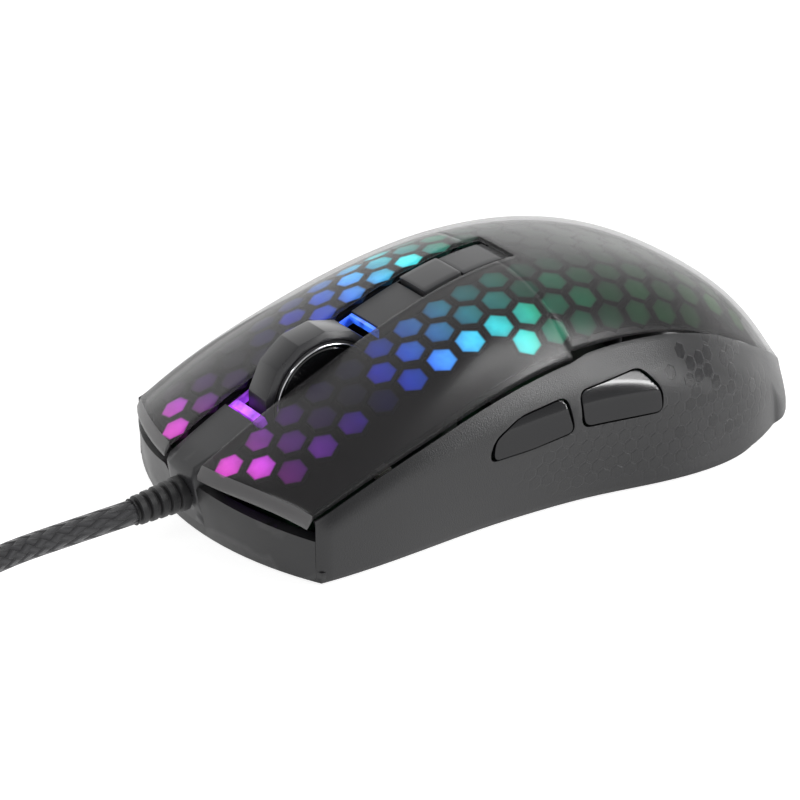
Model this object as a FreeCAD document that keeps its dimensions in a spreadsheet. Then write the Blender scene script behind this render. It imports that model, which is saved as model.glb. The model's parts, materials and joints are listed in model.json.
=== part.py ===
import FreeCAD, Part
import math
import os

from FreeCAD import Placement, Rotation, Vector

# A corded desktop mouse, in millimetres. +Z is up, the nose and its cable point along -Y,
# the thumb side is +X, and the origin is under the middle of the body, on the desk.

doc = FreeCAD.newDocument("Mouse")
sheet = doc.addObject("Spreadsheet::Sheet", "Sizes")

SIZES = [
    ("floor_low", 0.6, "underside of the bottom case, above the skates' feet"),
    ("floor_thick", 2.05, "thickness of the bottom case"),
    ("wall", 2.0, "thickness of the shell, keys and side panels"),
    ("channel_half", 5.5, "half width of the slot between the keys"),
    ("strip_half", 4.5, "half width of the strips in the slot"),
    ("channel_rear", 4.8, "rear end of the slot"),
    ("hinge_y", 1.0, "line across which the keys flex"),
    ("key_gap", 0.45, "half of the gap between a key and its side panel"),
    ("hairline", 0.03, "half of a closed seam"),
    ("board_low", 6.0, "underside of the main circuit board"),
    ("board_thick", 1.6, "thickness of a circuit board"),
    ("board_half", 26.0, "half width of the main circuit board"),
    ("board_front", -54.0, "front end of the main circuit board"),
    ("board_rear", 36.0, "rear end of the main circuit board"),
    ("wheel_y", -34.9, "axle of the wheel, along the mouse"),
    ("wheel_z", 19.65, "axle of the wheel, above the desk"),
    ("wheel_radius", 13.0, "outside of the tyre"),
    ("tyre_bore", 10.6, "inside of the tyre"),
    ("tyre_half", 3.3, "half width of the tyre"),
    ("rim_bore", 9.6, "inside of the polished rims"),
    ("stub_radius", 1.5, "axle stubs of the wheel"),
    ("running_gap", 0.05, "clearance of a shaft or slide"),
    ("switch_length", 12.8, "a snap-action switch"),
    ("switch_width", 5.8, "a snap-action switch"),
    ("switch_height", 6.5, "a snap-action switch"),
    ("plunger_length", 2.8, "plunger of a snap-action switch"),
    ("plunger_width", 1.2, "plunger of a snap-action switch"),
    ("plunger_stand", 1.0, "plunger's height above its switch"),
    ("main_switch_x", 15.0, "main switches, from the middle"),
    ("main_plunger_y", -49.0, "plungers of the main switches"),
    ("screw_radius", 1.0, "shank of a case screw"),
    ("screw_head", 2.5, "head of a case screw"),
    ("boss_radius", 3.0, "a screw boss"),
    ("rear_screw_x", 15.0, "rear case screws"),
    ("rear_screw_y", 42.0, "rear case screws"),
    ("front_screw_x", 24.6, "front case screws"),
    ("front_screw_y", -46.5, "front case screws"),
    ("boss_top", 5.0, "top of the bottom case's screw bosses"),
    ("lens_y", 6.0, "optical centre, along the mouse"),
    ("cable_radius", 2.2, "braided cable"),
    ("cable_exit_z", 8.0, "height at which the cable leaves the nose"),
    ("relief_radius", 3.1, "ribbed strain relief"),
    ("relief_length", 10.0, "strain relief outside the nose"),
    ("coil_radius", 26.0, "middle of the coil's turns"),
    ("coil_half", 6.8, "half width of the coil's bundle"),
    ("coil_height", 16.0, "height of the coil's bundle"),
    ("coil_x", -30.4, "centre of the coil"),
    ("coil_y", -150.0, "centre of the coil"),
    ("plug_width", 12.0, "metal shell of the plug"),
    ("plug_height", 4.5, "metal shell of the plug"),
    ("plug_reach", 11.8, "metal shell beyond the plug's body"),
]
for row, (alias, value, note) in enumerate(SIZES, start=1):
    sheet.set(f"A{row}", alias.replace("_", " "))
    sheet.set(f"B{row}", str(value))
    sheet.setAlias(f"B{row}", alias)
    sheet.set(f"C{row}", note)
doc.recompute()
size = {alias: float(sheet.get(alias)) for alias, _, _ in SIZES}
rim_top = size["floor_low"] + size["floor_thick"]
board_top = size["board_low"] + size["board_thick"]


# ---- the outside form: a crowned top, and a wall round it ----

def spline(stations):
    """A smooth curve through (place, value) stations, straight beyond both ends."""
    places = [p for p, _ in stations]
    values = [v for _, v in stations]
    last = len(stations) - 1
    steps = [places[i + 1] - places[i] for i in range(last)]
    slopes = [(values[i + 1] - values[i]) / steps[i] for i in range(last)]
    bend = [0.0] * (last + 1)
    ratio = [0.0] * (last + 1)
    for i in range(1, last):
        pivot = 2 * (steps[i - 1] + steps[i]) - steps[i - 1] * ratio[i - 1]
        ratio[i] = steps[i] / pivot
        bend[i] = (6 * (slopes[i] - slopes[i - 1]) - steps[i - 1] * bend[i - 1]) / pivot
    for i in range(last - 1, 0, -1):
        bend[i] -= ratio[i] * bend[i + 1]

    def value(place):
        if place <= places[0]:
            return values[0] + (place - places[0]) * (slopes[0] - steps[0] * bend[1] / 6)
        if place >= places[-1]:
            return values[-1] + (place - places[-1]) * (slopes[-1] + steps[-1] * bend[-2] / 6)
        i = max(k for k in range(last) if places[k] <= place)
        a = (places[i + 1] - place) / steps[i]
        b = 1 - a
        curved = ((a**3 - a) * bend[i] + (b**3 - b) * bend[i + 1]) * steps[i] ** 2 / 6
        return a * values[i] + b * values[i + 1] + curved

    return value


# Along the middle of the back, and along the seam between the shell and the side panels.
crown_z = spline([(-64, 14.7), (-52, 21.0), (-38, 27.2), (-24, 32.7), (-11, 36.7), (0, 38.4),
                  (12, 38.1), (26, 35.6), (38, 31.2), (48, 25.0), (57, 15.8), (63, 6.4)])
seam_z = spline([(-56, 12.2), (-44, 17.3), (-32, 21.3), (-20, 24.5), (-8, 26.6), (6, 27.6),
                 (20, 26.7), (34, 22.8), (46, 16.5), (56, 10.2), (63, 5.0)])
seam_x = spline([(-56, 28.7), (-44, 29.7), (-32, 29.9), (-20, 29.4), (-8, 28.6), (6, 28.0),
                 (20, 27.8), (34, 26.8), (46, 24.2), (56, 19.4), (63, 14.6)])
# How steeply a side panel's shoulder falls away from that seam.
shoulder_slope = spline([(-56, 1.6), (-40, 1.6), (-20, 1.5), (0, 1.3), (20, 1.25), (40, 1.4), (56, 1.6)])
# The wall's half width at the bottom edge, and at the height of the thumb.
base_x = spline([(-56, 30.1), (-44, 30.7), (-32, 30.4), (-20, 30.0), (-8, 30.4), (6, 32.0),
                 (20, 34.8), (34, 34.6), (46, 30.2), (56, 24.0)])
waist_x = spline([(-56, 30.6), (-44, 31.6), (-32, 31.9), (-20, 31.9), (-8, 32.1), (6, 32.6),
                  (20, 33.2), (34, 32.2), (46, 28.7), (56, 22.8)])
BASE_HEIGHT = 0.7
WAIST_HEIGHT = 18.0
REAR_FROM, REAR_END = 50.0, 62.9
NOSE_APEX, NOSE_CORNER = -63.9, -54.3
NOSE_LEAN, LEAN_FROM = 0.2, 12.0
FLAT_SHARE = 0.33
STEEPEST = 1.8


def top_z(x, y):
    """Height of the crowned top, which runs on straight beyond the seam."""
    middle, edge = crown_z(y), seam_z(y)
    t = abs(x) / seam_x(y)
    if t <= 1:
        return middle - (middle - edge) * (FLAT_SHARE * t * t + (1 - FLAT_SHARE) * t**4)
    return edge - seam_slope(y) * (abs(x) - seam_x(y))


def seam_slope(y):
    """How steeply the top falls away at the seam."""
    return min(STEEPEST, (crown_z(y) - seam_z(y)) * (4 - 2 * FLAT_SHARE) / seam_x(y))


def top_point(x, y, depth):
    """The point that lies depth under the top, square to it."""
    step = 0.4
    across = (top_z(x + step, y) - top_z(x - step, y)) / (2 * step)
    along = (top_z(x, y + step) - top_z(x, y - step)) / (2 * step)
    normal = Vector(-across, -along, 1).normalize()
    return Vector(x, y, top_z(x, y)) - normal * depth


def under_top(depth):
    """Everything below the top, or below a surface that lies depth under it."""
    columns = [3.7 * k for k in range(-10, 11)]
    rows = [-70 + 3.4 * k for k in range(41)]
    surface = Part.BSplineSurface()
    surface.interpolate([[top_point(x, y, depth) for x in columns] for y in rows])
    return surface.toShape().extrude(Vector(0, 0, -90))


def under_shoulder(side, raised=0.0):
    """Everything below the slope from the seam to the shoulder of one side panel."""
    edges = []
    for reach in (-5.0, 12.0):
        line = Part.BSplineCurve()
        places = [-75 + 7.5 * k for k in range(20)]
        heights = [seam_z(y) - shoulder_slope(y) * reach + raised for y in places]
        line.interpolate([Vector(side * (seam_x(y) + reach), y, z) for y, z in zip(places, heights)])
        edges.append(line.toShape())
    return Part.makeRuledSurface(*edges).extrude(Vector(0, 0, -90))


def wall_x(y, z):
    """Half width of the wall, which flares out towards the base."""
    share = max(0.0, min(1.2, (WAIST_HEIGHT - z) / (WAIST_HEIGHT - BASE_HEIGHT)))
    return waist_x(y) + (base_x(y) - waist_x(y)) * share**1.6


def plan_wire(z, inset):
    """The wall's outline at a height: a nose of one shallow arc, two sides and a round rear."""
    apex = NOSE_APEX + NOSE_LEAN * max(0.0, LEAN_FROM - z) + inset
    corner = NOSE_CORNER + inset
    ys = [corner + (REAR_FROM - corner) * k / 9 for k in range(10)]
    side = [Vector(wall_x(y, z) - inset, y, z) for y in ys]
    half, end = side[-1].x, REAR_END - inset
    for k in range(1, 7):
        turn = math.radians(15 * k)
        y = REAR_FROM + (end - REAR_FROM) * math.sin(turn) ** 1.25
        side.append(Vector(half * math.cos(turn) ** 0.80, y, z))
    other = [Vector(-p.x, p.y, z) for p in reversed(side[:-1])]
    round_side = Part.BSplineCurve()
    round_side.interpolate(side + other)
    nose = Part.Arc(other[-1], Vector(0, apex, z), side[0])
    return Part.Wire([round_side.toShape(), nose.toShape()])


def wall_solid(inset=0.0):
    heights = [-4 + 5.5 * k for k in range(9)]
    return Part.makeLoft([plan_wire(z, inset) for z in heights], True)


def seam_prism(offset):
    """Everything inside the seam, grown by offset(y)."""
    ys = [-75 + 7.5 * k for k in range(20)]
    right = Part.BSplineCurve()
    right.interpolate([Vector(seam_x(y) + offset(y), y, -10) for y in ys])
    left = Part.BSplineCurve()
    left.interpolate([Vector(-seam_x(y) - offset(y), y, -10) for y in ys])
    a, b = right.toShape(), left.toShape()
    front = Part.LineSegment(left.StartPoint, right.StartPoint).toShape()
    rear = Part.LineSegment(left.EndPoint, right.EndPoint).toShape()
    return Part.Face(Part.Wire(Part.__sortEdges__([a, rear, b, front]))).extrude(Vector(0, 0, 80))


def fading_gap(y):
    """Open beside the keys, closed beside the palm."""
    share = max(0.0, min(1.0, (10 - y) / 10))
    return size["hairline"] + (size["key_gap"] - size["hairline"]) * share


def block(x0, x1, y0, y1, z0, z1):
    return Part.makeBox(x1 - x0, y1 - y0, z1 - z0, Vector(x0, y0, z0))


def rod(radius, length, start, axis=Vector(0, 0, 1)):
    return Part.makeCylinder(radius, length, start, axis)


def fused(shapes):
    whole = shapes[0]
    for shape in shapes[1:]:
        whole = whole.fuse(shape)
    return whole.removeSplitter()


made = []


def keep(feature, label):
    """A finished sub-part: its label names its file."""
    feature.Label = label
    made.append(feature)
    return feature


def free_form(label, shape):
    """A sub-part whose surfaces follow the outside form."""
    feature = doc.addObject("Part::Feature", label)
    feature.Shape = shape
    feature.Placement = Placement()
    return keep(feature, label)


def bound(kind, name, place, **sizes):
    """A primitive whose sizes, and the place of its origin, are expressions on the sheet."""
    feature = doc.addObject(kind, name)
    for key, value in sizes.items():
        feature.setExpression(key, str(value))
    for axis, value in zip("xyz", place):
        feature.setExpression(f"Placement.Base.{axis}", str(value))
    return feature


def box(name, place, length, width, height):
    return bound("Part::Box", name, place, Length=length, Width=width, Height=height)


def cylinder(name, place, radius, height, axis="z"):
    feature = bound("Part::Cylinder", name, place, Radius=radius, Height=height)
    if axis == "x":
        feature.Placement.Rotation = Rotation(Vector(0, 1, 0), 90)
    if axis == "y":
        feature.Placement.Rotation = Rotation(Vector(1, 0, 0), -90)
    return feature


def cut(name, base, tool):
    feature = doc.addObject("Part::Cut", name)
    feature.Base, feature.Tool = base, tool
    return feature


def joined(name, features):
    feature = doc.addObject("Part::MultiFuse", name)
    feature.Shapes = features
    return feature


def group(name, features):
    """Identical pieces that share one node, as separate solids."""
    feature = doc.addObject("Part::Compound", name)
    feature.Links = features
    return feature


# ---- what the shell, keys and panels are cut from ----

wall = wall_solid()
form = wall.common(under_top(0))
inside = wall_solid(size["wall"])
under_shell = under_top(size["wall"])
hollow = form.cut(inside.common(under_shell))
seam_gap = 2 * size["hairline"]
REACH = 90.0


def half(side, start=0.0):
    """The space on one side of the middle, from start outwards."""
    space = block(start, REACH, -REACH, REACH, -1, 60)
    return space if side > 0 else space.mirror(Vector(0, 0, 0), Vector(1, 0, 0))


# ---- top shell: the palm, with the slot's rear end and two screw posts ----

THREAD_DEPTH = 9.0
palm_zone = seam_prism(lambda y: -fading_gap(y)).common(
    block(-REACH, REACH, size["hinge_y"] + size["hairline"], REACH, rim_top + seam_gap, 60))
slot = block(-size["channel_half"], size["channel_half"], -REACH, size["channel_rear"], 15, 60)
palm = hollow.common(palm_zone).cut(slot)
post_feet = [Vector(s * size["rear_screw_x"], size["rear_screw_y"], size["boss_top"]) for s in (-1, 1)]
posts = [rod(size["boss_radius"], 60, foot).common(under_top(1.0)) for foot in post_feet]
palm = fused([palm] + posts)
for foot in post_feet:
    palm = palm.cut(rod(size["screw_radius"] + size["hairline"], THREAD_DEPTH, foot))
free_form("top_shell", palm)

# ---- main keys: tongues of the same moulding, each with a post over its switch ----

key_zone = seam_prism(lambda y: -fading_gap(y)).common(
    block(-REACH, REACH, -REACH, size["hinge_y"] - size["hairline"], 0, 60))
plunger_top = board_top + size["switch_height"] + size["plunger_stand"]
KEY_CLEARANCE = 0.1
for s, label in ((1, "left_key"), (-1, "right_key")):
    key = form.common(key_zone).cut(under_shell).common(half(s, size["channel_half"]))
    foot = Vector(s * size["main_switch_x"], size["main_plunger_y"], plunger_top + KEY_CLEARANCE)
    post = rod(1.5, 60, foot)
    free_form(label, key.fuse(post.common(under_top(1.0))))

# ---- honeycomb light guides under the keys and the palm, and the diffuser under the palm one ----

GUIDE_TOP, GUIDE_FOOT = 2.06, 3.5
guide_layer = wall_solid(4.5).common(under_top(GUIDE_TOP)).cut(under_top(GUIDE_FOOT))
guide_zone = seam_prism(lambda y: -3.2)
for s, label in ((1, "left_key_honeycomb"), (-1, "right_key_honeycomb")):
    guide = guide_layer.common(guide_zone).common(half(s, 9.5))
    guide = guide.common(block(-REACH, REACH, -REACH, -1.0, 5, 60))
    guide = guide.cut(rod(1.9, 60, Vector(s * size["main_switch_x"], size["main_plunger_y"], 5)))
    over_switch = block(-3.4, 3.4, -54.0, -40.0, 5, board_top + size["switch_height"] + 1.5)
    over_switch.translate(Vector(s * size["main_switch_x"], 0, 0))
    free_form(label, guide.cut(over_switch))
palm_guide = guide_layer.common(guide_zone).common(block(-REACH, REACH, 3.0, REACH, 6, 60))
palm_guide = palm_guide.cut(block(-9.5, 9.5, 0, 8.6, 5, 60))
diffuser = wall_solid(7.5).common(under_top(4.6)).cut(under_top(5.6)).common(seam_prism(lambda y: -6.0))
diffuser = diffuser.common(block(-REACH, REACH, 9.5, REACH, 9, 60))
for s in (-1, 1):
    hole = rod(size["boss_radius"] + 0.4, 60, Vector(s * size["rear_screw_x"], size["rear_screw_y"], 0))
    palm_guide, diffuser = palm_guide.cut(hole), diffuser.cut(hole)
free_form("palm_honeycomb", palm_guide)
free_form("light_diffuser", diffuser)

# ---- side panels, the thumb one with two button windows ----

FORWARD_WINDOW = [(-20.1, 14.2), (-19.2, 18.6), (-13.4, 21.5), (-3.0, 22.6), (-1.3, 15.3), (-10.9, 14.3)]
BACK_WINDOW = [(-0.4, 22.7), (0.0, 15.6), (17.9, 14.3), (17.8, 19.0), (13.8, 23.7)]
WINDOW_CORNER = 1.3
LEDGE_DEPTH, LEDGE_REACH, SHOULDER_THICK = 3.4, 2.4, 2.8
CORNER_X, CORNER_REAR = 29.4, -52.3


def window(outline, inset, corner):
    """A prism along X over a rounded outline given as (y, z) corners."""
    face = Part.Face(Part.makePolygon([Vector(0, y, z) for y, z in outline + outline[:1]]))
    if inset:
        face = Part.Face(face.makeOffset2D(-inset, 2).OuterWire)
    prism = face.extrude(Vector(45, 0, 0))
    along = [e for e in prism.Edges if abs(e.Vertexes[0].X - e.Vertexes[-1].X) > 40]
    return prism.makeFillet(corner, along)


panel_gap = seam_prism(fading_gap).cut(under_top(LEDGE_DEPTH))
panel_rim = seam_prism(lambda y: fading_gap(y) if y > 30 else -LEDGE_REACH)
panel_low = rim_top + seam_gap
for s, label in ((1, "left_side_panel"), (-1, "right_side_panel")):
    zone = block(-REACH, REACH, CORNER_REAR, REACH, panel_low, 60)
    zone = zone.fuse(half(s, CORNER_X).common(block(-REACH, REACH, -REACH, CORNER_REAR + 1, panel_low, 60)))
    outer = wall.common(under_shoulder(s)).common(half(s)).common(zone)
    panel = outer.cut(inside.common(under_shoulder(s, -SHOULDER_THICK))).cut(panel_gap).cut(panel_rim)
    lug = half(s, 22.0).common(block(-31, 31, -50.5, -43.5, size["boss_top"], 9.5)).common(wall_solid(1.0))
    thread = rod(size["screw_radius"] + size["hairline"], 4.0,
                 Vector(s * size["front_screw_x"], size["front_screw_y"], size["boss_top"] - 0.1))
    panel = fused([panel, lug]).cut(thread)
    if s > 0:
        panel = panel.cut(window(FORWARD_WINDOW, 0, WINDOW_CORNER)).cut(window(BACK_WINDOW, 0, WINDOW_CORNER))
    free_form(label, panel)

# ---- thumb buttons: a proud cap in its window, a wider flange behind the panel, and a plunger ----

BUTTON_GAP, BUTTON_PROUD, CAP_DEPTH, FLANGE_X, FLANGE_GROW, BEHIND_PANEL = 0.55, 0.6, 3.0, 27.3, 0.4, 0.3
SIDE_SWITCH_FACE, NUB_END, NUB_RADIUS = 25.2, 24.7, 0.6
THUMB_CENTRES = {"forward": (-11.0, 18.2), "back": (9.0, 18.9)}
caps = wall_solid(-BUTTON_PROUD).cut(wall_solid(CAP_DEPTH)).common(under_shoulder(1, BUTTON_PROUD))
caps = caps.common(block(0, 60, -30, 30, 0, 40))
flanges = wall_solid(size["wall"] + BEHIND_PANEL).common(block(FLANGE_X, 60, -30, 30, 0, 40))
flanges = flanges.common(under_shoulder(1, -SHOULDER_THICK - BEHIND_PANEL))
for name, outline in (("forward", FORWARD_WINDOW), ("back", BACK_WINDOW)):
    cap = caps.common(window(outline, BUTTON_GAP, WINDOW_CORNER - 0.4))
    flange = flanges.common(window(outline, -FLANGE_GROW, WINDOW_CORNER))
    y, z = THUMB_CENTRES[name]
    nub = rod(NUB_RADIUS, FLANGE_X + 0.5 - NUB_END, Vector(NUB_END, y, z), Vector(1, 0, 0))
    free_form(f"{name}_button", fused([cap, flange, nub]))

# ---- bottom case: the tray with a bumper, bosses, and the window for the sensor ----

BUMPER_Z, BUMPER_FALL, BUMPER_CHAMFER, NOSE_HALF = 12.04, 0.117, 1.1, 4.6
BOARD_BOSSES = [(s * 21.5, y) for s in (-1, 1) for y in (-36.0, 31.0)]
CASE_SCREWS = [(s * size["front_screw_x"], size["front_screw_y"], 6.0) for s in (-1, 1)]
CASE_SCREWS += [(s * size["rear_screw_x"], size["rear_screw_y"], 11.0) for s in (-1, 1)]
POCKET_TOP = 2.3


def bumper(side):
    """Half of the bumper: the wall's front, whose chamfered top edge falls towards the corner."""
    ends = [side * NOSE_HALF, side * (CORNER_X - seam_gap)]
    top = [BUMPER_Z - BUMPER_FALL * abs(x) for x in ends]
    outline = [Vector(ends[0], -70, rim_top - 0.5), Vector(ends[1], -70, rim_top - 0.5),
               Vector(ends[1], -70, top[1]), Vector(ends[0], -70, top[0])]
    prism = Part.Face(Part.makePolygon(outline + outline[:1])).extrude(Vector(0, 25, 0))
    front = wall.cut(inside).common(prism).common(block(-REACH, REACH, -REACH, CORNER_REAR - seam_gap, 0, 20))
    middles = [(edge, edge.CenterOfMass) for edge in front.Edges]
    upper = [(c.y, edge) for edge, c in middles if abs(c.z + BUMPER_FALL * abs(c.x) - BUMPER_Z) < 0.05]
    return front.makeChamfer(BUMPER_CHAMFER, [min(upper, key=lambda pair: pair[0])[1]])


tray = wall.common(block(-REACH, REACH, -REACH, REACH, size["floor_low"], rim_top))
pieces = [tray] + [bumper(s) for s in (-1, 1)]
pieces += [rod(2.4, size["board_low"] - rim_top + 0.1, Vector(x, y, rim_top - 0.1)) for x, y in BOARD_BOSSES]
pieces += [rod(4.2, size["boss_top"] - rim_top + 0.1, Vector(x, y, rim_top - 0.1)) for x, y, _ in CASE_SCREWS]
case = fused(pieces)
for x, y in BOARD_BOSSES:
    case = case.cut(rod(0.93, 10, Vector(x, y, rim_top)))
for x, y, _ in CASE_SCREWS:
    case = case.cut(rod(size["screw_head"] + 0.4, POCKET_TOP, Vector(x, y, 0)))
    case = case.cut(rod(size["screw_radius"] + 0.2, 10, Vector(x, y, 0)))
case = case.cut(block(-4.5, 4.5, size["lens_y"] - 5, size["lens_y"] + 5, 0, 10))
free_form("bottom_case", case)

# ---- nose block: closes the slot's front and holds the cable's exit ----

STRIP_DEPTH, STRIP_FOOT = 1.0, 3.0
strip = form.common(under_top(STRIP_DEPTH)).cut(under_top(STRIP_FOOT))
strip = strip.common(block(-size["strip_half"], size["strip_half"], -REACH, -51.4, 0, 60))
core = wall.common(under_top(STRIP_DEPTH)).common(
    block(seam_gap - NOSE_HALF, NOSE_HALF - seam_gap, -REACH, -56.5, rim_top, 60))
profile = [Vector(-10, y, z) for y, z in ((-62.7, 14.6), (-66, 8.3), (-66, 20), (-62.7, 20))]
slope = Part.Face(Part.makePolygon(profile + profile[:1])).extrude(Vector(20, 0, 0))
bore = rod(2.62, 12, Vector(0, -66, size["cable_exit_z"]), Vector(0, 1, 0))
free_form("nose_block", fused([strip, core]).cut(slope).cut(bore))

# ---- centre spine behind the wheel, with its two buttons, their switches and board ----

SPINE_DEPTH, SPINE_FOOT, TOP_BOARD_LOW, TOP_BOARD_TOP = 1.2, 3.2, 27.2, 28.6
SPINE_HALF = size["strip_half"] - 0.1
sunk = wall.common(under_top(SPINE_DEPTH))
spine = sunk.cut(under_top(SPINE_FOOT)).common(block(-SPINE_HALF, SPINE_HALF, -24.4, 4.6, 0, 60))
tab = wall.common(under_top(GUIDE_TOP)).cut(under_top(3.4))
tab = tab.common(block(-SPINE_HALF, SPINE_HALF, 3.6, 8.3, 0, 60))
legs = [sunk.common(block(-3.9, 3.9, y, y + 1.3, TOP_BOARD_TOP, 60)) for y in (-20.0, 3.3)]
well = block(-4.15, 4.15, -14.6, 3.25, 25, 60)
free_form("centre_spine", fused([spine.cut(well), tab] + legs))
TACT_LOW, TACT_TOP = TOP_BOARD_TOP, TOP_BOARD_TOP + 1.6
for label, y0, y1, depth in (("dpi_button", -14.4, -6.1, 0.25), ("mode_button", -5.8, 3.1, 0.75)):
    cap = wall.common(under_top(depth)).cut(under_top(3.6)).common(block(-4.05, 4.05, y0, y1, 0, 60))
    stem = rod(0.9, 60, Vector(0, (y0 + y1) / 2, TACT_TOP - 0.4)).common(under_top(depth + 1))
    free_form(label, cap.fuse(stem))
top_tacts = []
for k, y in enumerate((-10.25, -1.35)):
    body = box(f"TopTactBody{k}", (-2.25, y - 2.25, TACT_LOW), 4.5, 4.5, 1.6)
    well = cylinder(f"TopTactWell{k}", (0, y, TACT_LOW + 0.6), 1.0, 2.0)
    top_tacts.append(cut(f"TopTact{k}", body, well))
keep(group("TopTacts", top_tacts), "top_button_switches")
top_board = box("TopBoard", (-4.3, -20.4, TOP_BOARD_LOW), 8.6, 25.4, TOP_BOARD_TOP - TOP_BOARD_LOW)
keep(top_board, "top_button_board")

# ---- thumb buttons' board, standing on the main board ----

side_board = box("SideBoard", (20.8, -19.0, "Sizes.board_low + Sizes.board_thick"), 1.4, 36.0, 14.0)
keep(side_board, "side_button_board")
side_tacts = []
for name, (y, z) in THUMB_CENTRES.items():
    body = box(f"{name.title()}TactBody", (22.2, y - 3, z - 3), SIDE_SWITCH_FACE - 22.2, 6, 6)
    well = cylinder(f"{name.title()}TactWell", (SIDE_SWITCH_FACE - 1.4, y, z), 0.7, 3, "x")
    side_tacts.append(cut(f"{name.title()}Tact", body, well))
keep(group("SideTacts", side_tacts), "side_button_switches")

# ---- main circuit board and what is soldered on it ----

BOARD_TOP = "Sizes.board_low + Sizes.board_thick"
plate = box("BoardPlate", ("-Sizes.board_half", "Sizes.board_front", "Sizes.board_low"),
            "2 * Sizes.board_half", "Sizes.board_rear - Sizes.board_front", "Sizes.board_thick")
cuts = [box("WheelNotch", (-4, "Sizes.wheel_y - 7.4", 5), 8, 14.8, 4),
        box("FrontCornerRight", (-30, -56, 5), 8.5, 13, 4),
        box("FrontCornerLeft", (21.5, -56, 5), 8.5, 13, 4)]
cuts += [cylinder(f"BoardHole{k}", (x, y, 5), 1.05, 4) for k, (x, y) in enumerate(BOARD_BOSSES)]
keep(cut("MainBoard", plate, joined("BoardCuts", cuts)), "main_circuit_board")
keep(box("SensorChip", (-5, "Sizes.lens_y - 6", BOARD_TOP), 10, 12, 2.4), "sensor_chip")
TRAY_TOP = "Sizes.floor_low + Sizes.floor_thick"
lens_plate = box("LensPlate", (-6.5, "Sizes.lens_y - 7.5", TRAY_TOP), 13, 15, 3.3)
lens_foot = box("LensFoot", (-4.3, "Sizes.lens_y - 4.8", 1.3), 8.6, 9.6, 2.0)
keep(joined("SensorLens", [lens_plate, lens_foot]), "sensor_lens")
keep(box("Microcontroller", (-13.5, 20, BOARD_TOP), 7, 7, 0.9), "microcontroller")
keep(box("CableConnector", (4.6, -52.5, BOARD_TOP), 6.5, 5, 4.2), "cable_connector")
LAMPS = [(-14, -31), (14, -31), (-13, -6), (13, -6), (-16, 12), (14, 22), (0, 30)]
keep(group("Lamps", [box(f"Lamp{k}", (x - 1.75, y - 1.4, BOARD_TOP), 3.5, 2.8, 1.9)
                     for k, (x, y) in enumerate(LAMPS)]), "lamps")
screws = []
for k, (x, y) in enumerate(BOARD_BOSSES):
    head = cylinder(f"BoardScrewHead{k}", (x, y, BOARD_TOP), 1.9, 1.2)
    shank = cylinder(f"BoardScrewShank{k}", (x, y, 3.0), 0.9, 5.0)
    screws.append(joined(f"BoardScrew{k}", [head, shank]))
keep(group("BoardScrews", screws), "board_screws")

# ---- snap-action switches: two for the keys, one under the wheel ----


def snap_switch(name, x, y, turned):
    """A switch's case with a pocket, and a plunger that slides in the pocket."""
    long_side, short_side = "Sizes.switch_length", "Sizes.switch_width"
    wide, deep = "Sizes.plunger_length", "Sizes.plunger_width"
    across, along = (long_side, short_side) if turned else (short_side, long_side)
    plunger_y = y if turned else "Sizes.main_plunger_y"
    case_box = box(f"{name}Case", (f"{x} - {across} / 2", f"{y} - {along} / 2", BOARD_TOP),
                   across, along, "Sizes.switch_height")
    gap = "Sizes.running_gap"
    pocket = box(f"{name}Pocket", (f"{x} - {wide} / 2 - {gap}", f"{plunger_y} - {deep} / 2 - {gap}",
                                   f"{BOARD_TOP} + Sizes.switch_height - 2.6"),
                 f"{wide} + 2 * {gap}", f"{deep} + 2 * {gap}", 4)
    plunger = box(f"{name}Plunger", (f"{x} - {wide} / 2", f"{plunger_y} - {deep} / 2",
                                     f"{BOARD_TOP} + Sizes.switch_height - 1.6"),
                  wide, deep, "1.6 + Sizes.plunger_stand")
    return cut(f"{name}Body", case_box, pocket), plunger


for s, label in ((1, "left"), (-1, "right")):
    body, plunger = snap_switch(f"{label.title()}Switch", s * size["main_switch_x"], -47.0, False)
    keep(body, f"{label}_switch")
    keep(plunger, f"{label}_plunger")
body, click_plunger = snap_switch("WheelSwitch", 0, -14.5, True)
keep(body, "wheel_switch")

# ---- wheel: faceted tyre, two polished rims, dished hub, encoder disc ----

WHEEL_AT = ("Sizes.wheel_y", "Sizes.wheel_z")


def drum(name, x, radius, width):
    return cylinder(name, (x, *WHEEL_AT), radius, width, "x")


tread = bound("Part::Prism", "Tread", ("-Sizes.tyre_half", *WHEEL_AT),
              Circumradius="Sizes.wheel_radius", Height="2 * Sizes.tyre_half")
tread.Polygon = 14
tread.Placement.Rotation = Rotation(Vector(0, 1, 0), 90)
tyre_bore = drum("TyreBore", "-Sizes.tyre_half - 1", "Sizes.tyre_bore", "2 * Sizes.tyre_half + 2")
keep(cut("Tyre", tread, tyre_bore), "wheel_tyre")
rims = []
for k, start in enumerate(("-Sizes.tyre_half - 0.12", "Sizes.tyre_half + 0.12 - 0.9")):
    ring = drum(f"RimRing{k}", start, "Sizes.tyre_bore - 0.02", 0.9)
    rims.append(cut(f"Rim{k}", ring, drum(f"RimBore{k}", f"{start} - 1", "Sizes.rim_bore", 3)))
keep(group("Rims", rims), "wheel_rims")
web = drum("HubWeb", -2.9, "Sizes.rim_bore - 0.02", 5.8)
dishes = []
for k, (start, turn) in enumerate(((-3.0, 90), (3.0, -90))):
    dish = bound("Part::Cone", f"HubDish{k}", (start, *WHEEL_AT), Radius1=8.9, Radius2=2.6, Height=1.3)
    dish.Placement.Rotation = Rotation(Vector(0, 1, 0), turn)
    dishes.append(dish)
web = cut("HubDished", web, joined("HubDishes", dishes))
keep(joined("Hub", [web, drum("Stubs", -8.4, "Sizes.stub_radius", 16.8)]), "wheel_hub")
disc = drum("DiscPlate", -5.6, 5.5, 0.6)
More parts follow.
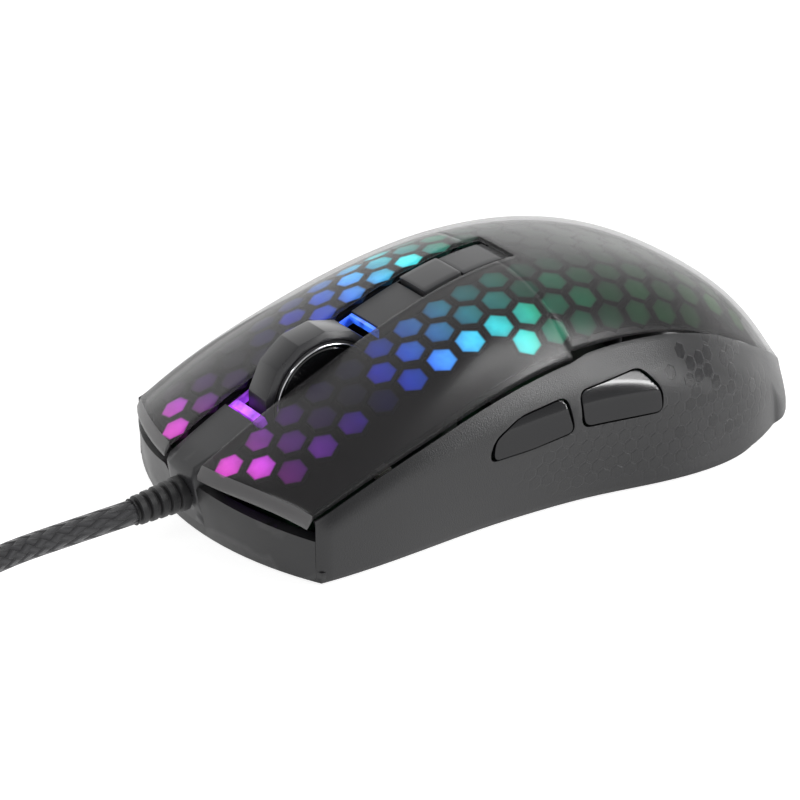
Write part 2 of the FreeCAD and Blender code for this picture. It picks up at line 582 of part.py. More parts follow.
disc_cuts = [drum("DiscBore", -6, "Sizes.stub_radius + 0.01", 2)]
for k in range(12):
    slot_cut = doc.addObject("Part::Box", f"DiscSlot{k}")
    slot_cut.Length, slot_cut.Width, slot_cut.Height = 2, 0.9, 1.7
    turn = Rotation(Vector(1, 0, 0), 30 * k)
    axle = Vector(-6, size["wheel_y"], size["wheel_z"])
    slot_cut.Placement = Placement(axle + turn.multVec(Vector(0, -0.45, 3.2)), turn)
    disc_cuts.append(slot_cut)
keep(cut("EncoderDisc", disc, joined("DiscCuts", disc_cuts)), "encoder_disc")

# ---- wheel carriage: a yoke that slides down when the wheel is clicked, and its guides ----

yoke = []
for k, x in enumerate((-8.4, 7.0)):
    cheek = box(f"Cheek{k}", (x, "Sizes.wheel_y - 5", 9.2), 1.4, 10, 13.4)
    hole = drum(f"CheekBore{k}", x - 1, "Sizes.stub_radius + Sizes.running_gap", 4)
    yoke.append(cut(f"CheekBored{k}", cheek, hole))
    yoke.append(box(f"Arm{k}", (x, "Sizes.wheel_y + 4.9", 16.6), 1.4, 17, 1.6))
plunger_tip = f"{BOARD_TOP} + Sizes.switch_height + Sizes.plunger_stand"
yoke.append(box("CrossBar", (-8.4, -16, plunger_tip), 16.8, 3, 3.1))
yoke.append(click_plunger)
keep(joined("Yoke", yoke), "wheel_carriage")
guides = []
for k, (back, lip) in enumerate(((-10.2, -8.45), (8.45, 7.0))):
    outer = box(f"GuideBack{k}", (back, "Sizes.wheel_y - 6.6", BOARD_TOP), 1.75, 13.2, 10.4)
    front = box(f"GuideFront{k}", (lip, "Sizes.wheel_y - 6.6", BOARD_TOP), 1.45, 1.55, 10.4)
    rear = box(f"GuideRear{k}", (lip, "Sizes.wheel_y + 5.05", BOARD_TOP), 1.45, 1.55, 8.3)
    guides.append(joined(f"Guide{k}", [outer, front, rear]))
keep(group("Guides", guides), "wheel_guides")
keep(box("Emitter", (-4.8, "Sizes.wheel_y - 1.5", BOARD_TOP), 0.7, 3, 8.6), "scroll_emitter")
keep(box("Detector", (-6.85, "Sizes.wheel_y - 1.5", BOARD_TOP), 1.0, 3, 8.6), "scroll_detector")

# ---- underside: case screws, skates, blank label ----

screws = []
for k, (x, y, reach) in enumerate(CASE_SCREWS):
    head = cylinder(f"CaseScrewHead{k}", (x, y, POCKET_TOP - 1.4), "Sizes.screw_head", 1.4)
    shank = cylinder(f"CaseScrewShank{k}", (x, y, POCKET_TOP - 0.2), "Sizes.screw_radius", reach)
    slot_k = box(f"CaseScrewSlot{k}", (x - 1.6, y - 0.3, POCKET_TOP - 1.6), 3.2, 0.6, 0.8)
    slot_m = box(f"CaseScrewCross{k}", (x - 0.3, y - 1.6, POCKET_TOP - 1.6), 0.6, 3.2, 0.8)
    screws.append(cut(f"CaseScrew{k}", joined(f"CaseScrewSolid{k}", [head, shank]),
                      joined(f"CaseScrewSlots{k}", [slot_k, slot_m])))
keep(group("CaseScrews", screws), "case_screws")
for label, y0, y1, half_width in (("front_skate", -57.5, -51.5, 19.0), ("rear_skate", 49.0, 56.0, 17.0)):
    sheet_part = wall_solid(2.5).common(block(-half_width, half_width, y0, y1, 0, size["floor_low"]))
    upright = [e for e in sheet_part.Edges if abs(e.Vertexes[0].Z - e.Vertexes[-1].Z) > 0.5]
    free_form(label, sheet_part.makeFillet(1.8, upright))
keep(box("Label", (-15, 17, "Sizes.floor_low - 0.15"), 30, 19, 0.15), "rating_label")

# ---- cable: relief, free run, coil with its tie, tail, plug ----

EXIT = Vector(0, -63.5, size["cable_exit_z"])
RELIEF_END = Vector(0, EXIT.y - size["relief_length"], EXIT.z - 0.8)
RUN = [RELIEF_END, Vector(0, -87, 6.95), Vector(0.3, -100.5, 6.7), Vector(0.2, -113.5, 3.4),
       Vector(-0.2, -126, 2.25), Vector(0, -138, 2.2)]
COIL = Vector(size["coil_x"], size["coil_y"], 0)
TOP_TURN_Z = size["coil_height"] - size["cable_radius"] - 0.1
TAIL = [Vector(-20.3, -123.7, TOP_TURN_Z), Vector(-10.9, -127.1, 13.4), Vector(-1.5, -130.5, 11.6),
        Vector(4.85, -135.4, 9.2), Vector(9.4, -141.9, 6.8), Vector(11.8, -149.5, 4.8),
        Vector(11.8, -157.5, 4.0)]


def smooth_path(points):
    """Straight runs joined by tangent arcs as large as the runs allow."""
    edges, start, radii = [], points[0], []
    for before, corner, after in zip(points, points[1:], points[2:]):
        into, out = (corner - before), (after - corner)
        half_turn = into.getAngle(out) / 2
        reach = 0.45 * min(into.Length, out.Length)
        radii.append(reach / math.tan(half_turn))
        enter = corner - into.normalize() * reach
        leave = corner + out.normalize() * reach
        bisector = (leave + enter) * 0.5 - corner
        middle = corner + bisector.normalize() * (radii[-1] / math.cos(half_turn) - radii[-1])
        edges.append(Part.LineSegment(start, enter).toShape())
        edges.append(Part.Arc(enter, middle, leave).toShape())
        start = leave
    edges.append(Part.LineSegment(start, points[-1]).toShape())
    return Part.Wire(edges), radii


def tube(label, points, radius):
    path, radii = smooth_path(points)
    profile = Part.Wire(Part.makeCircle(radius, points[0], points[1] - points[0]))
    solid = path.makePipeShell([profile], True, True)
    print(label, "length", round(path.Length, 1), "radii", [round(r, 1) for r in radii],
          "volume / (section x length)", round(solid.Volume / (math.pi * radius**2 * path.Length), 4))
    return free_form(label, solid)


relief_axis = RELIEF_END - EXIT
core = Part.makeCone(size["relief_radius"] - 0.4, size["cable_radius"] + 0.35, relief_axis.Length,
                     EXIT, relief_axis)
ribs = [rod(2.6, 7.5, EXIT + Vector(0, 7.4, 0), Vector(0, -1, 0)), core]
step = relief_axis * (1 / 5.2)
for k in range(5):
    ribs.append(rod(size["relief_radius"] - 0.12 * k, 1.1, EXIT + step * (k + 0.12), relief_axis))
free_form("strain_relief", fused(ribs))
tube("cable_run", RUN, size["cable_radius"])
outer_ring = cylinder("CoilOutside", ("Sizes.coil_x", "Sizes.coil_y", 0),
                      "Sizes.coil_radius + Sizes.coil_half", "Sizes.coil_height")
inner_ring = cylinder("CoilInside", ("Sizes.coil_x", "Sizes.coil_y", -1),
                      "Sizes.coil_radius - Sizes.coil_half", "Sizes.coil_height + 2")
keep(cut("Coil", outer_ring, inner_ring), "cable_coil")
tie_y = "Sizes.coil_y - Sizes.coil_radius"
band_out = box("TieOutside", ("Sizes.coil_x - 3", f"{tie_y} - Sizes.coil_half - 0.8", 0), 6,
               "2 * Sizes.coil_half + 1.6", "Sizes.coil_height + 0.6")
band_in = box("TieInside", ("Sizes.coil_x - 4", f"{tie_y} - Sizes.coil_half - 0.2", 0.5), 8,
              "2 * Sizes.coil_half + 0.4", "Sizes.coil_height - 0.4")
keep(cut("Tie", band_out, band_in), "cable_tie")
tube("cable_tail", TAIL, size["cable_radius"])

PLUG_LENGTH, PLUG_WIDE, PLUG_TALL, SHEET = 19.0, 16.0, 8.0, 0.35
plug_x, plug_y, plug_z = TAIL[-1].x, TAIL[-1].y, TAIL[-1].z
handle = box("PlugHandle", (plug_x - PLUG_WIDE / 2, plug_y - PLUG_LENGTH, plug_z - PLUG_TALL / 2),
             PLUG_WIDE, PLUG_LENGTH, PLUG_TALL)
doc.recompute()
rounded = doc.addObject("Part::Fillet", "PlugBody")
rounded.Base = handle
rounded.Edges = [(i + 1, 1.5, 1.5) for i, e in enumerate(handle.Shape.Edges)
                 if abs(e.Vertexes[0].Y - e.Vertexes[-1].Y) > 1]
keep(rounded, "usb_plug_body")
mouth = plug_y - PLUG_LENGTH
shell_out = box("PlugShellOutside", (f"{plug_x} - Sizes.plug_width / 2", f"{mouth} - Sizes.plug_reach",
                                     f"{plug_z} - Sizes.plug_height / 2"),
                "Sizes.plug_width", "Sizes.plug_reach", "Sizes.plug_height")
shell_in = box("PlugShellInside", (f"{plug_x} - Sizes.plug_width / 2 + {SHEET}",
                                   f"{mouth} - Sizes.plug_reach - 1",
                                   f"{plug_z} - Sizes.plug_height / 2 + {SHEET}"),
               f"Sizes.plug_width - 2 * {SHEET}", "Sizes.plug_reach + 2", f"Sizes.plug_height - 2 * {SHEET}")
keep(cut("PlugShell", shell_out, shell_in), "usb_plug_shell")
keep(box("PlugTongue", (plug_x - 5.5, f"{mouth} - Sizes.plug_reach + 0.4",
                        f"{plug_z} + Sizes.plug_height / 2 - {SHEET} - 1.9"),
         11, "Sizes.plug_reach - 0.4", 1.85), "usb_plug_tongue")

# ---- check everything, then write one file for each sub-part ----

doc.recompute()
for feature in doc.Objects:
    if "Invalid" in feature.State or "Error" in feature.State:
        raise ValueError(f"{feature.Name} failed to build: {feature.State}")
for feature in made:
    if feature.Shape.isNull() or not feature.Shape.isValid():
        raise ValueError(f"{feature.Label} has no sound shape")
os.makedirs("parts", exist_ok=True)
for feature in made:
    feature.Shape.exportStep(f"parts/{feature.Label}.step")
    print(feature.Label, len(feature.Shape.Solids), "solids", round(feature.Shape.Volume), "mm3")
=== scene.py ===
import json
import math

import bpy
from mathutils import Matrix, Vector


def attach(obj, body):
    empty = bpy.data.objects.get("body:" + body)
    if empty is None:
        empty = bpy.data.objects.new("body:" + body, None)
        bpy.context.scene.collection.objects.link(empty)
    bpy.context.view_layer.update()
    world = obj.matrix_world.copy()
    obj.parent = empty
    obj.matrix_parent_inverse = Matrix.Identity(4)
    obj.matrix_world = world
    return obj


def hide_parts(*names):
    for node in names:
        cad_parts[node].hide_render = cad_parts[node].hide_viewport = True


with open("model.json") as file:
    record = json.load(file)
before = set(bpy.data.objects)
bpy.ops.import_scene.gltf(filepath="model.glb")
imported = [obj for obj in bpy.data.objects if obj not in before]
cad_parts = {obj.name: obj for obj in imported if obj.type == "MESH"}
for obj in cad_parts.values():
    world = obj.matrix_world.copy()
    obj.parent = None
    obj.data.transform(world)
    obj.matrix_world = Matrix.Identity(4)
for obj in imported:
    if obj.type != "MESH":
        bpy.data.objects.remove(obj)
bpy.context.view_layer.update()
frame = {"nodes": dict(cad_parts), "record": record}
MM = 0.001

# ---- Stage: camera, floor and light ----
# A long lens looks down on the mouse from the front, on its thumb side.
# A white room and a few soft boxes light it, over a plain pale floor.

camera_data = bpy.data.cameras.new("camera")
camera_data.lens = 139.38
camera = bpy.data.objects.new("camera", camera_data)
camera.location = (0.41697, -0.30805, 0.26181)
looking = Vector((-0.02406, 0, -0.001365)) - camera.location
camera.rotation_euler = looking.to_track_quat("-Z", "Y").to_euler()
bpy.context.collection.objects.link(camera)
bpy.context.scene.camera = camera
bpy.context.scene.view_settings.view_transform = "Standard"


def softbox(name, place, aim, width, height, watts):
    light = bpy.data.lights.new(name, "AREA")
    light.shape = "RECTANGLE"
    light.size, light.size_y, light.energy = width, height, watts
    lamp = bpy.data.objects.new(name, light)
    lamp.location = place
    lamp.rotation_euler = (Vector(aim) - Vector(place)).to_track_quat("-Z", "Y").to_euler()
    bpy.context.collection.objects.link(lamp)


softbox("ridge_strip", (0.30, 0.29, 0.47), (0.03, 0, 0.02), 0.10, 0.60, 1.7)
softbox("cap_strip", (0.42, 0.32, 0.235), (0.03, 0, 0.015), 0.03, 0.45, 1.3)
softbox("front_strip", (0.10, -0.45, 0.50), (0, -0.05, 0.02), 0.30, 0.08, 0.5)


def add_node(tree, kind, inputs=(), **settings):
    """A shader node with its settings and inputs, each input a number, a colour or another node's output."""
    made = tree.nodes.new(kind)
    for key, value in settings.items():
        setattr(made, key, value)
    for key, value in dict(inputs).items():
        if isinstance(value, bpy.types.NodeSocket):
            tree.links.new(value, made.inputs[key])
        else:
            made.inputs[key].default_value = value
    return made


def new_material(name, **values):
    """A material whose Principled shader has these plain values on its own sockets."""
    material = bpy.data.materials.new(name)
    material.use_nodes = True
    shader = material.node_tree.nodes["Principled BSDF"]
    for key, value in values.items():
        shader.inputs[key.replace("_", " ")].default_value = value
    return material, material.node_tree, shader


world = bpy.data.worlds.new("room")
bpy.context.scene.world = world
world.use_nodes = True
room = world.node_tree
direction = add_node(room, "ShaderNodeTexCoord").outputs["Generated"]
fading = add_node(room, "ShaderNodeMapRange", {"Value": add_node(room, "ShaderNodeSeparateXYZ", {0: direction}).outputs["Z"],
                                               "From Min": 0.0, "From Max": 0.5, "To Min": 0.85, "To Max": 0.28})
away = add_node(room, "ShaderNodeVectorMath", {0: direction, 1: (-0.87, 0.49, 0.0)}, operation="DOT_PRODUCT")
window = add_node(room, "ShaderNodeMapRange", {"Value": away.outputs["Value"], "From Min": 0.1, "To Max": 1.6})
sky = add_node(room, "ShaderNodeMath", {0: fading.outputs["Result"], 1: window.outputs["Result"]}, operation="ADD")
room.nodes["Background"].inputs["Color"].default_value = (1, 1, 1, 1)
room.links.new(sky.outputs[0], room.nodes["Background"].inputs["Strength"])

floor_paint, _, floor_shader = new_material("floor_paint", Base_Color=(0.4, 0.4, 0.4, 1), Roughness=0.9)
floor_shader.inputs["Emission Color"].default_value = (1, 1, 1, 1)
floor_shader.inputs["Emission Strength"].default_value = 0.86
bpy.ops.mesh.primitive_plane_add(size=8, location=(0, 0, -0.00002))
floor = bpy.context.object
floor.name = "floor"
floor.data.materials.append(floor_paint)

# ---- Cable: braided sleeve, from the relief to the plug ----
# A 4.4 mm cable of 1.70 m. It leaves the nose straight, comes down to the desk,
# and the rest is wound into a neat coil of ten turns whose end lies beside it.

CABLE_RADIUS = 2.2
RUN = [(0, -73.5, 7.2), (0, -87, 6.95), (0.3, -100.5, 6.7), (0.2, -113.5, 3.4), (-0.2, -126, 2.25), (0, -138, 2.2)]
COIL_CENTRE = (-30.4, -150)
TURNS = [(30.4, 2.25), (26.0, 2.25), (21.6, 2.25), (23.8, 6.1), (28.2, 6.1),
         (30.4, 9.9), (26.0, 9.9), (21.6, 9.9), (23.8, 13.7), (28.2, 13.7)]
STEPS = 18
TAIL = [(-10.9, -127.1, 13.4), (-1.5, -130.5, 11.6), (4.85, -135.4, 9.2), (9.4, -141.9, 6.8),
        (11.8, -149.5, 4.8), (11.8, -157.5, 4.0)]


def coil_points():
    """The turns, one after another, each easing into the next over its last third."""
    points = []
    last_steps = round(STEPS * 290 / 360)
    for k, (radius, height) in enumerate(TURNS):
        next_radius, next_height = TURNS[min(k + 1, len(TURNS) - 1)]
        for step in range(STEPS if k < len(TURNS) - 1 else last_steps + 1):
            share = max(0.0, (step / STEPS - 0.65) / 0.35)
            share = share * share * (3 - 2 * share)
            r = radius + (next_radius - radius) * share
            turn = -2 * math.pi * step / STEPS
            points.append((COIL_CENTRE[0] + r * math.cos(turn), COIL_CENTRE[1] + r * math.sin(turn),
                           height + (next_height - height) * share))
    return points


line = bpy.data.curves.new("cable", "CURVE")
line.dimensions = "3D"
line.bevel_depth = CABLE_RADIUS * MM
line.bevel_resolution = 4
line.resolution_u = 6
line.use_fill_caps = True
spline = line.splines.new("NURBS")
route = RUN + coil_points() + TAIL
spline.points.add(len(route) - 1)
for point, (x, y, z) in zip(spline.points, route):
    point.co = (x * MM, y * MM, z * MM, 1)
spline.order_u = 3
spline.use_endpoint_u = True
cable = bpy.data.objects.new("cable", line)
bpy.context.collection.objects.link(cable)
CABLE_LENGTH = 1.70


def wave(tree, value):
    """A strand's round back: 0 at its edges and 1 along its middle, once for each whole number."""
    whole = add_node(tree, "ShaderNodeMath", {0: value, 1: 1.0}, operation="PINGPONG")
    return add_node(tree, "ShaderNodeMath", {0: whole.outputs[0], 1: 0.6}, operation="POWER").outputs[0]


def maths(tree, operation, a, b=0.0):
    return add_node(tree, "ShaderNodeMath", {0: a, 1: b}, operation=operation).outputs[0]


def braid_material():
    """Black yarn laid over and under in two slants; its colour follows the relief, painted paler on the yarns' backs as
    sheen and darker in the hollows between them as shade.
    """
    material, tree, shader = new_material("braid", Roughness=0.62, Specular_IOR_Level=0.35)
    shader.inputs["Sheen Weight"].default_value = 0.25
    shader.inputs["Sheen Roughness"].default_value = 0.4
    place = add_node(tree, "ShaderNodeTexCoord")
    split = add_node(tree, "ShaderNodeSeparateXYZ", {0: place.outputs["UV"]})
    along = maths(tree, "MULTIPLY", split.outputs["X"], CABLE_LENGTH / 0.0019)
    around = maths(tree, "MULTIPLY", split.outputs["Y"], 8.0)
    right_hand = maths(tree, "ADD", along, around)
    left_hand = maths(tree, "SUBTRACT", along, around)
    over = maths(tree, "PINGPONG", maths(tree, "ADD", maths(tree, "FLOOR", right_hand),
                                         maths(tree, "FLOOR", left_hand)), 1.0)
    height = add_node(tree, "ShaderNodeMix", {"Factor": over, "A": wave(tree, maths(tree, "MULTIPLY", right_hand, 2.0)),
                                              "B": wave(tree, maths(tree, "MULTIPLY", left_hand, 2.0))})
    fuzz = add_node(tree, "ShaderNodeTexNoise", {"Vector": place.outputs["Object"], "Scale": 4000.0, "Detail": 2.0})
    relief = maths(tree, "ADD", height.outputs["Result"], maths(tree, "MULTIPLY", fuzz.outputs["Fac"], 0.25))
    # Painted shade and sheen: the colour follows the relief height, darkest in the hollows between yarns and palest on
    # their backs.
    colour = add_node(tree, "ShaderNodeValToRGB", {"Fac": maths(tree, "MULTIPLY", relief, 0.8)})
    colour.color_ramp.elements[0].color = (0.004, 0.004, 0.005, 1)
    colour.color_ramp.elements[1].color = (0.045, 0.045, 0.048, 1)
    bump = add_node(tree, "ShaderNodeBump", {"Height": relief, "Distance": 0.0004, "Strength": 0.9})
    tree.links.new(colour.outputs["Color"], shader.inputs["Base Color"])
    tree.links.new(bump.outputs["Normal"], shader.inputs["Normal"])
    return material


cable.data.materials.append(braid_material())
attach(cable, "chassis")
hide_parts("cable_run", "cable_coil", "cable_tail")

# ---- Strain relief: ribbed rubber boot at the nose ----
# Five ribs on a core that tapers towards the cable. It is moulded on the cable
# and held in the nose block by a neck.


def deselect():
    if bpy.context.object and bpy.context.object.mode != "OBJECT":
        bpy.ops.object.mode_set(mode="OBJECT")
    bpy.ops.object.select_all(action="DESELECT")


def work_on(piece):
    deselect()
    piece.select_set(True)
    bpy.context.view_layer.objects.active = piece


def turned(name, stations, place, direction, sides=48):
    """A lathe piece: a disc carried along a line and resized at each (distance, radius) station, in mm."""
    deselect()
    first_at, first_radius = stations[0]
    bpy.ops.mesh.primitive_circle_add(vertices=sides, radius=first_radius * MM, fill_type="NGON",
                                      location=(0, 0, first_at * MM))
    piece = bpy.context.object
    piece.name = name
    bpy.ops.object.transform_apply()
    bpy.ops.object.mode_set(mode="EDIT")
    bpy.ops.mesh.select_all(action="SELECT")
    for (at, radius), (next_at, next_radius) in zip(stations, stations[1:]):
        bpy.ops.mesh.extrude_region_move(TRANSFORM_OT_translate={"value": (0, 0, (next_at - at) * MM)})
        share = next_radius / radius
        bpy.ops.transform.resize(value=(share, share, 1), center_override=(0, 0, next_at * MM))
    bpy.ops.mesh.select_all(action="SELECT")
    bpy.ops.mesh.normals_make_consistent(inside=False)
    bpy.ops.object.mode_set(mode="OBJECT")
    turn = Vector(direction).to_track_quat("Z", "Y").to_matrix().to_4x4()
    piece.data.transform(Matrix.Translation(Vector(place) * MM) @ turn)
    return piece


def finished(piece, body, slot, material, *nodes, angle=35):
    """Smooths a piece, gives it its material and puts it on its body in place of CAD nodes."""
    work_on(piece)
    bpy.ops.object.shade_smooth_by_angle(angle=math.radians(angle))
    piece.data.materials.clear()
    piece.data.materials.append(material)
    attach(piece, body)
    if nodes:
        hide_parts(*nodes)
    return piece


def moulding(name, colour, roughness, grain=0.3, depth=0.015, blotch=0.12, **values):
    """Moulded plastic or rubber: a fine grain as relief, and patches a little smoother and paler."""
    material, tree, shader = new_material(name, **values)
    place = add_node(tree, "ShaderNodeTexCoord").outputs["Object"]
    fine = add_node(tree, "ShaderNodeTexNoise", {"Vector": place, "Scale": 1 / (grain * MM), "Detail": 3.0})
    patch = add_node(tree, "ShaderNodeTexNoise", {"Vector": place, "Scale": 90.0, "Detail": 4.0})
    bump = add_node(tree, "ShaderNodeBump", {"Height": fine.outputs["Fac"], "Distance": depth * MM, "Strength": 1.0})
    rough = add_node(tree, "ShaderNodeMapRange", {"Value": patch.outputs["Fac"], "From Min": 0.3, "From Max": 0.7,
                                                  "To Min": roughness * (1 - blotch), "To Max": roughness * (1 + blotch)})
    tone = add_node(tree, "ShaderNodeMix", {0: patch.outputs["Fac"], 6: (*[c * (1 - blotch) for c in colour], 1),
                                            7: (*[c * (1 + blotch) for c in colour], 1)}, data_type="RGBA")
    tree.links.new(tone.outputs[2], shader.inputs["Base Color"])
    tree.links.new(rough.outputs["Result"], shader.inputs["Roughness"])
    tree.links.new(bump.outputs["Normal"], shader.inputs["Normal"])
    return material


ribs = [(-7.3, 0.1), (-7.3, 2.6), (0.0, 2.6), (0.0, 3.2), (0.5, 3.25)]
for k in range(5):
    start = 0.5 + 1.95 * k
    top = 3.2 - 0.13 * k
    ribs += [(start + 0.95, top), (start + 1.15, top - 0.35), (start + 1.2, top - 0.75), (start + 1.7, top - 0.8),
             (start + 1.8, top - 0.35), (start + 1.95, top - 0.13)]
ribs = ribs[:-2] + [(10.2, 2.5), (10.2, 2.25)]
relief = turned("strain_relief_boot", ribs, (0, -63.5, 8.0), (0, -10, -0.8), 40)
relief_rubber = moulding("relief_rubber", (0.014, 0.014, 0.015), 0.5, 0.2, 0.02)
finished(relief, "chassis", "relief_rubber", relief_rubber, "strain_relief", angle=25)

# ---- Keys and palm: one smoky, see-through skin in three pieces ----
# The two keys and the palm are moulded in smoke-tinted plastic with a gloss coat.
# Each has a short lip along its edges. The keys flex where they join the palm.

CHANNEL_HALF = 5.5
CHANNEL_REAR = 4.8
HINGE_Y = 1.0
NOSE_CENTRE_Y, NOSE_RADIUS = -10.5, 53.4
REAR_FROM, REAR_END = 50.0, 62.9
SKIN_THICK = 0.8


def curve_through(stations):
    """A smooth curve through (place, value) stations, straight beyond both ends."""
    places = [p for p, _ in stations]
    values = [v for _, v in stations]
    last = len(stations) - 1
    steps = [places[i + 1] - places[i] for i in range(last)]
    slopes = [(values[i + 1] - values[i]) / steps[i] for i in range(last)]
    bend, ratio = [0.0] * (last + 1), [0.0] * (last + 1)
    for i in range(1, last):
        pivot = 2 * (steps[i - 1] + steps[i]) - steps[i - 1] * ratio[i - 1]
        ratio[i] = steps[i] / pivot
        bend[i] = (6 * (slopes[i] - slopes[i - 1]) - steps[i - 1] * bend[i - 1]) / pivot
    for i in range(last - 1, 0, -1):
        bend[i] -= ratio[i] * bend[i + 1]

    def value(place):
        if place <= places[0]:
            return values[0] + (place - places[0]) * (slopes[0] - steps[0] * bend[1] / 6)
        if place >= places[-1]:
            return values[-1] + (place - places[-1]) * (slopes[-1] + steps[-1] * bend[-2] / 6)
        i = max(k for k in range(last) if places[k] <= place)
        a = (places[i + 1] - place) / steps[i]
        b = 1 - a
        curved = ((a**3 - a) * bend[i] + (b**3 - b) * bend[i + 1]) * steps[i] ** 2 / 6
        return a * values[i] + b * values[i + 1] + curved

    return value


crown_z = curve_through([(-64, 14.7), (-52, 21.0), (-38, 27.2), (-24, 32.7), (-11, 36.7), (0, 38.4),
                         (12, 38.1), (26, 35.6), (38, 31.2), (48, 25.0), (57, 15.8), (63, 6.4)])
seam_z = curve_through([(-56, 12.2), (-44, 17.3), (-32, 21.3), (-20, 24.5), (-8, 26.6), (6, 27.6),
                        (20, 26.7), (34, 22.8), (46, 16.5), (56, 10.2), (63, 5.0)])
seam_x = curve_through([(-56, 28.7), (-44, 29.7), (-32, 29.9), (-20, 29.4), (-8, 28.6), (6, 28.0),
                        (20, 27.8), (34, 26.8), (46, 24.2), (56, 19.4), (63, 14.6)])
base_x = curve_through([(-56, 30.1), (-44, 30.7), (-32, 30.4), (-20, 30.0), (-8, 30.4), (6, 32.0),
                        (20, 34.8), (34, 34.6), (46, 30.2), (56, 24.0)])
waist_x = curve_through([(-56, 30.6), (-44, 31.6), (-32, 31.9), (-20, 31.9), (-8, 32.1), (6, 32.6),
                         (20, 33.2), (34, 32.2), (46, 28.7), (56, 22.8)])


def wall_x(y, z):
    share = max(0.0, min(1.2, (18.0 - z) / 17.3))
    return waist_x(y) + (base_x(y) - waist_x(y)) * share**1.6


def top_z(x, y):
    t = abs(x) / seam_x(y)
    middle, edge = crown_z(y), seam_z(y)
    if t <= 1:
        return middle - (middle - edge) * (0.33 * t * t + 0.67 * t**4)
    return edge - min(1.8, (middle - edge) * 3.34 / seam_x(y)) * (abs(x) - seam_x(y))


def on_top(x, y, depth=0.0):
    """The point that lies depth under the top, square to it, and the direction square to the top there."""
    step = 0.4
    across = (top_z(x + step, y) - top_z(x - step, y)) / (2 * step)
    along = (top_z(x, y + step) - top_z(x, y - step)) / (2 * step)
    up = Vector((-across, -along, 1)).normalized()
    return Vector((x, y, top_z(x, y))) - up * depth, up


def nose_y(x, inset=0.0):
    return NOSE_CENTRE_Y - math.sqrt((NOSE_RADIUS - inset) ** 2 - x * x)


def rear_half(y, inset=0.0):
    """Half width at a place near the rear end, where the plan rounds off."""
    half = wall_x(REAR_FROM, top_z(24, REAR_FROM)) - inset
    share = min(1.0, max(0.0, (y - REAR_FROM) / (REAR_END - inset - REAR_FROM))) ** 0.8
    return half * max(0.0, 1 - share * share) ** 0.4


def open_half(y):
    """Half of the gap between the skin and a side panel: open beside the keys, closed beside the palm."""
    return 0.03 + 0.42 * max(0.0, min(1.0, (4 - y) / 4))


def key_plan(side):
    def place(s, t):
        x = CHANNEL_HALF + (28.2 - CHANNEL_HALF) * s
        for _ in range(3):
            y = nose_y(x) + (HINGE_Y - 0.03 - nose_y(x)) * t
            x = CHANNEL_HALF + (seam_x(y) - open_half(y) - CHANNEL_HALF) * s
        return side * x, y
    return place


def palm_plan(s, t):
    """Columns at the slot's sides stay straight, so that the slot's rear end can be cut out."""
    y = HINGE_Y + 0.03 + (REAR_END - HINGE_Y - 0.4) * (1 - (1 - t) ** 1.25)
    edge = min(seam_x(y) - open_half(y), rear_half(y))
    u = 2 * s - 1
    slot_share = 0.25
    if abs(u) <= slot_share:
        x = abs(u) / slot_share * min(CHANNEL_HALF, edge * 0.45)
    else:
        inner = min(CHANNEL_HALF, edge * 0.45)
        x = inner + (edge - inner) * (abs(u) - slot_share) / (1 - slot_share)
    return math.copysign(x, u), y


def laid_grid(name, plan, columns, rows, depth=0.0):
    """A sheet of quads laid on the top, or a little under it; plan(s, t) gives (x, y) in mm."""
    deselect()
    bpy.ops.mesh.primitive_grid_add(x_subdivisions=columns, y_subdivisions=rows, size=2)
    sheet = bpy.context.object
    sheet.name = name
    for corner in sheet.data.vertices:
        x, y = plan((corner.co.x + 1) / 2, (corner.co.y + 1) / 2)
        corner.co = on_top(x, y, depth)[0] * MM
    return sheet


def select_where(piece, kind, test):
    """Leaves edit mode with only the faces, edges or vertices that pass the test selected."""
    work_on(piece)
    bpy.ops.object.mode_set(mode="EDIT")
    bpy.ops.mesh.select_mode(type=kind)
    bpy.ops.mesh.select_all(action="DESELECT")
    bpy.ops.object.mode_set(mode="OBJECT")
    chosen = {"VERT": piece.data.vertices, "EDGE": piece.data.edges, "FACE": piece.data.polygons}[kind]
    for item in chosen:
        item.select = test(item)
    bpy.ops.object.mode_set(mode="EDIT")


def edge_middle(piece, edge):
    return sum((piece.data.vertices[v].co for v in edge.vertices), Vector()) / 2 / MM


def apply_modifier(piece, kind, **settings):
    work_on(piece)
    modifier = piece.modifiers.new(kind.lower(), kind)
    for key, value in settings.items():
        setattr(modifier, key, value)
    bpy.ops.object.modifier_apply(modifier=modifier.name)


def thickened(piece, thickness, soften=0.2, segments=2):
    """Gives a sheet its thickness downwards and rounds its sharp edges a little."""
    work_on(piece)
    bpy.ops.object.mode_set(mode="EDIT")
    bpy.ops.mesh.select_all(action="SELECT")
    bpy.ops.mesh.remove_doubles(threshold=0.02 * MM)
    bpy.ops.mesh.normals_make_consistent(inside=False)
    bpy.ops.object.mode_set(mode="OBJECT")
    if sum((f.normal.z * f.area for f in piece.data.polygons)) < 0:
        piece.data.flip_normals()
    apply_modifier(piece, "SOLIDIFY", thickness=thickness * MM, offset=-1, use_even_offset=True)
    apply_modifier(piece, "BEVEL", width=soften * MM, segments=segments, limit_method="ANGLE",
                   angle_limit=math.radians(50))


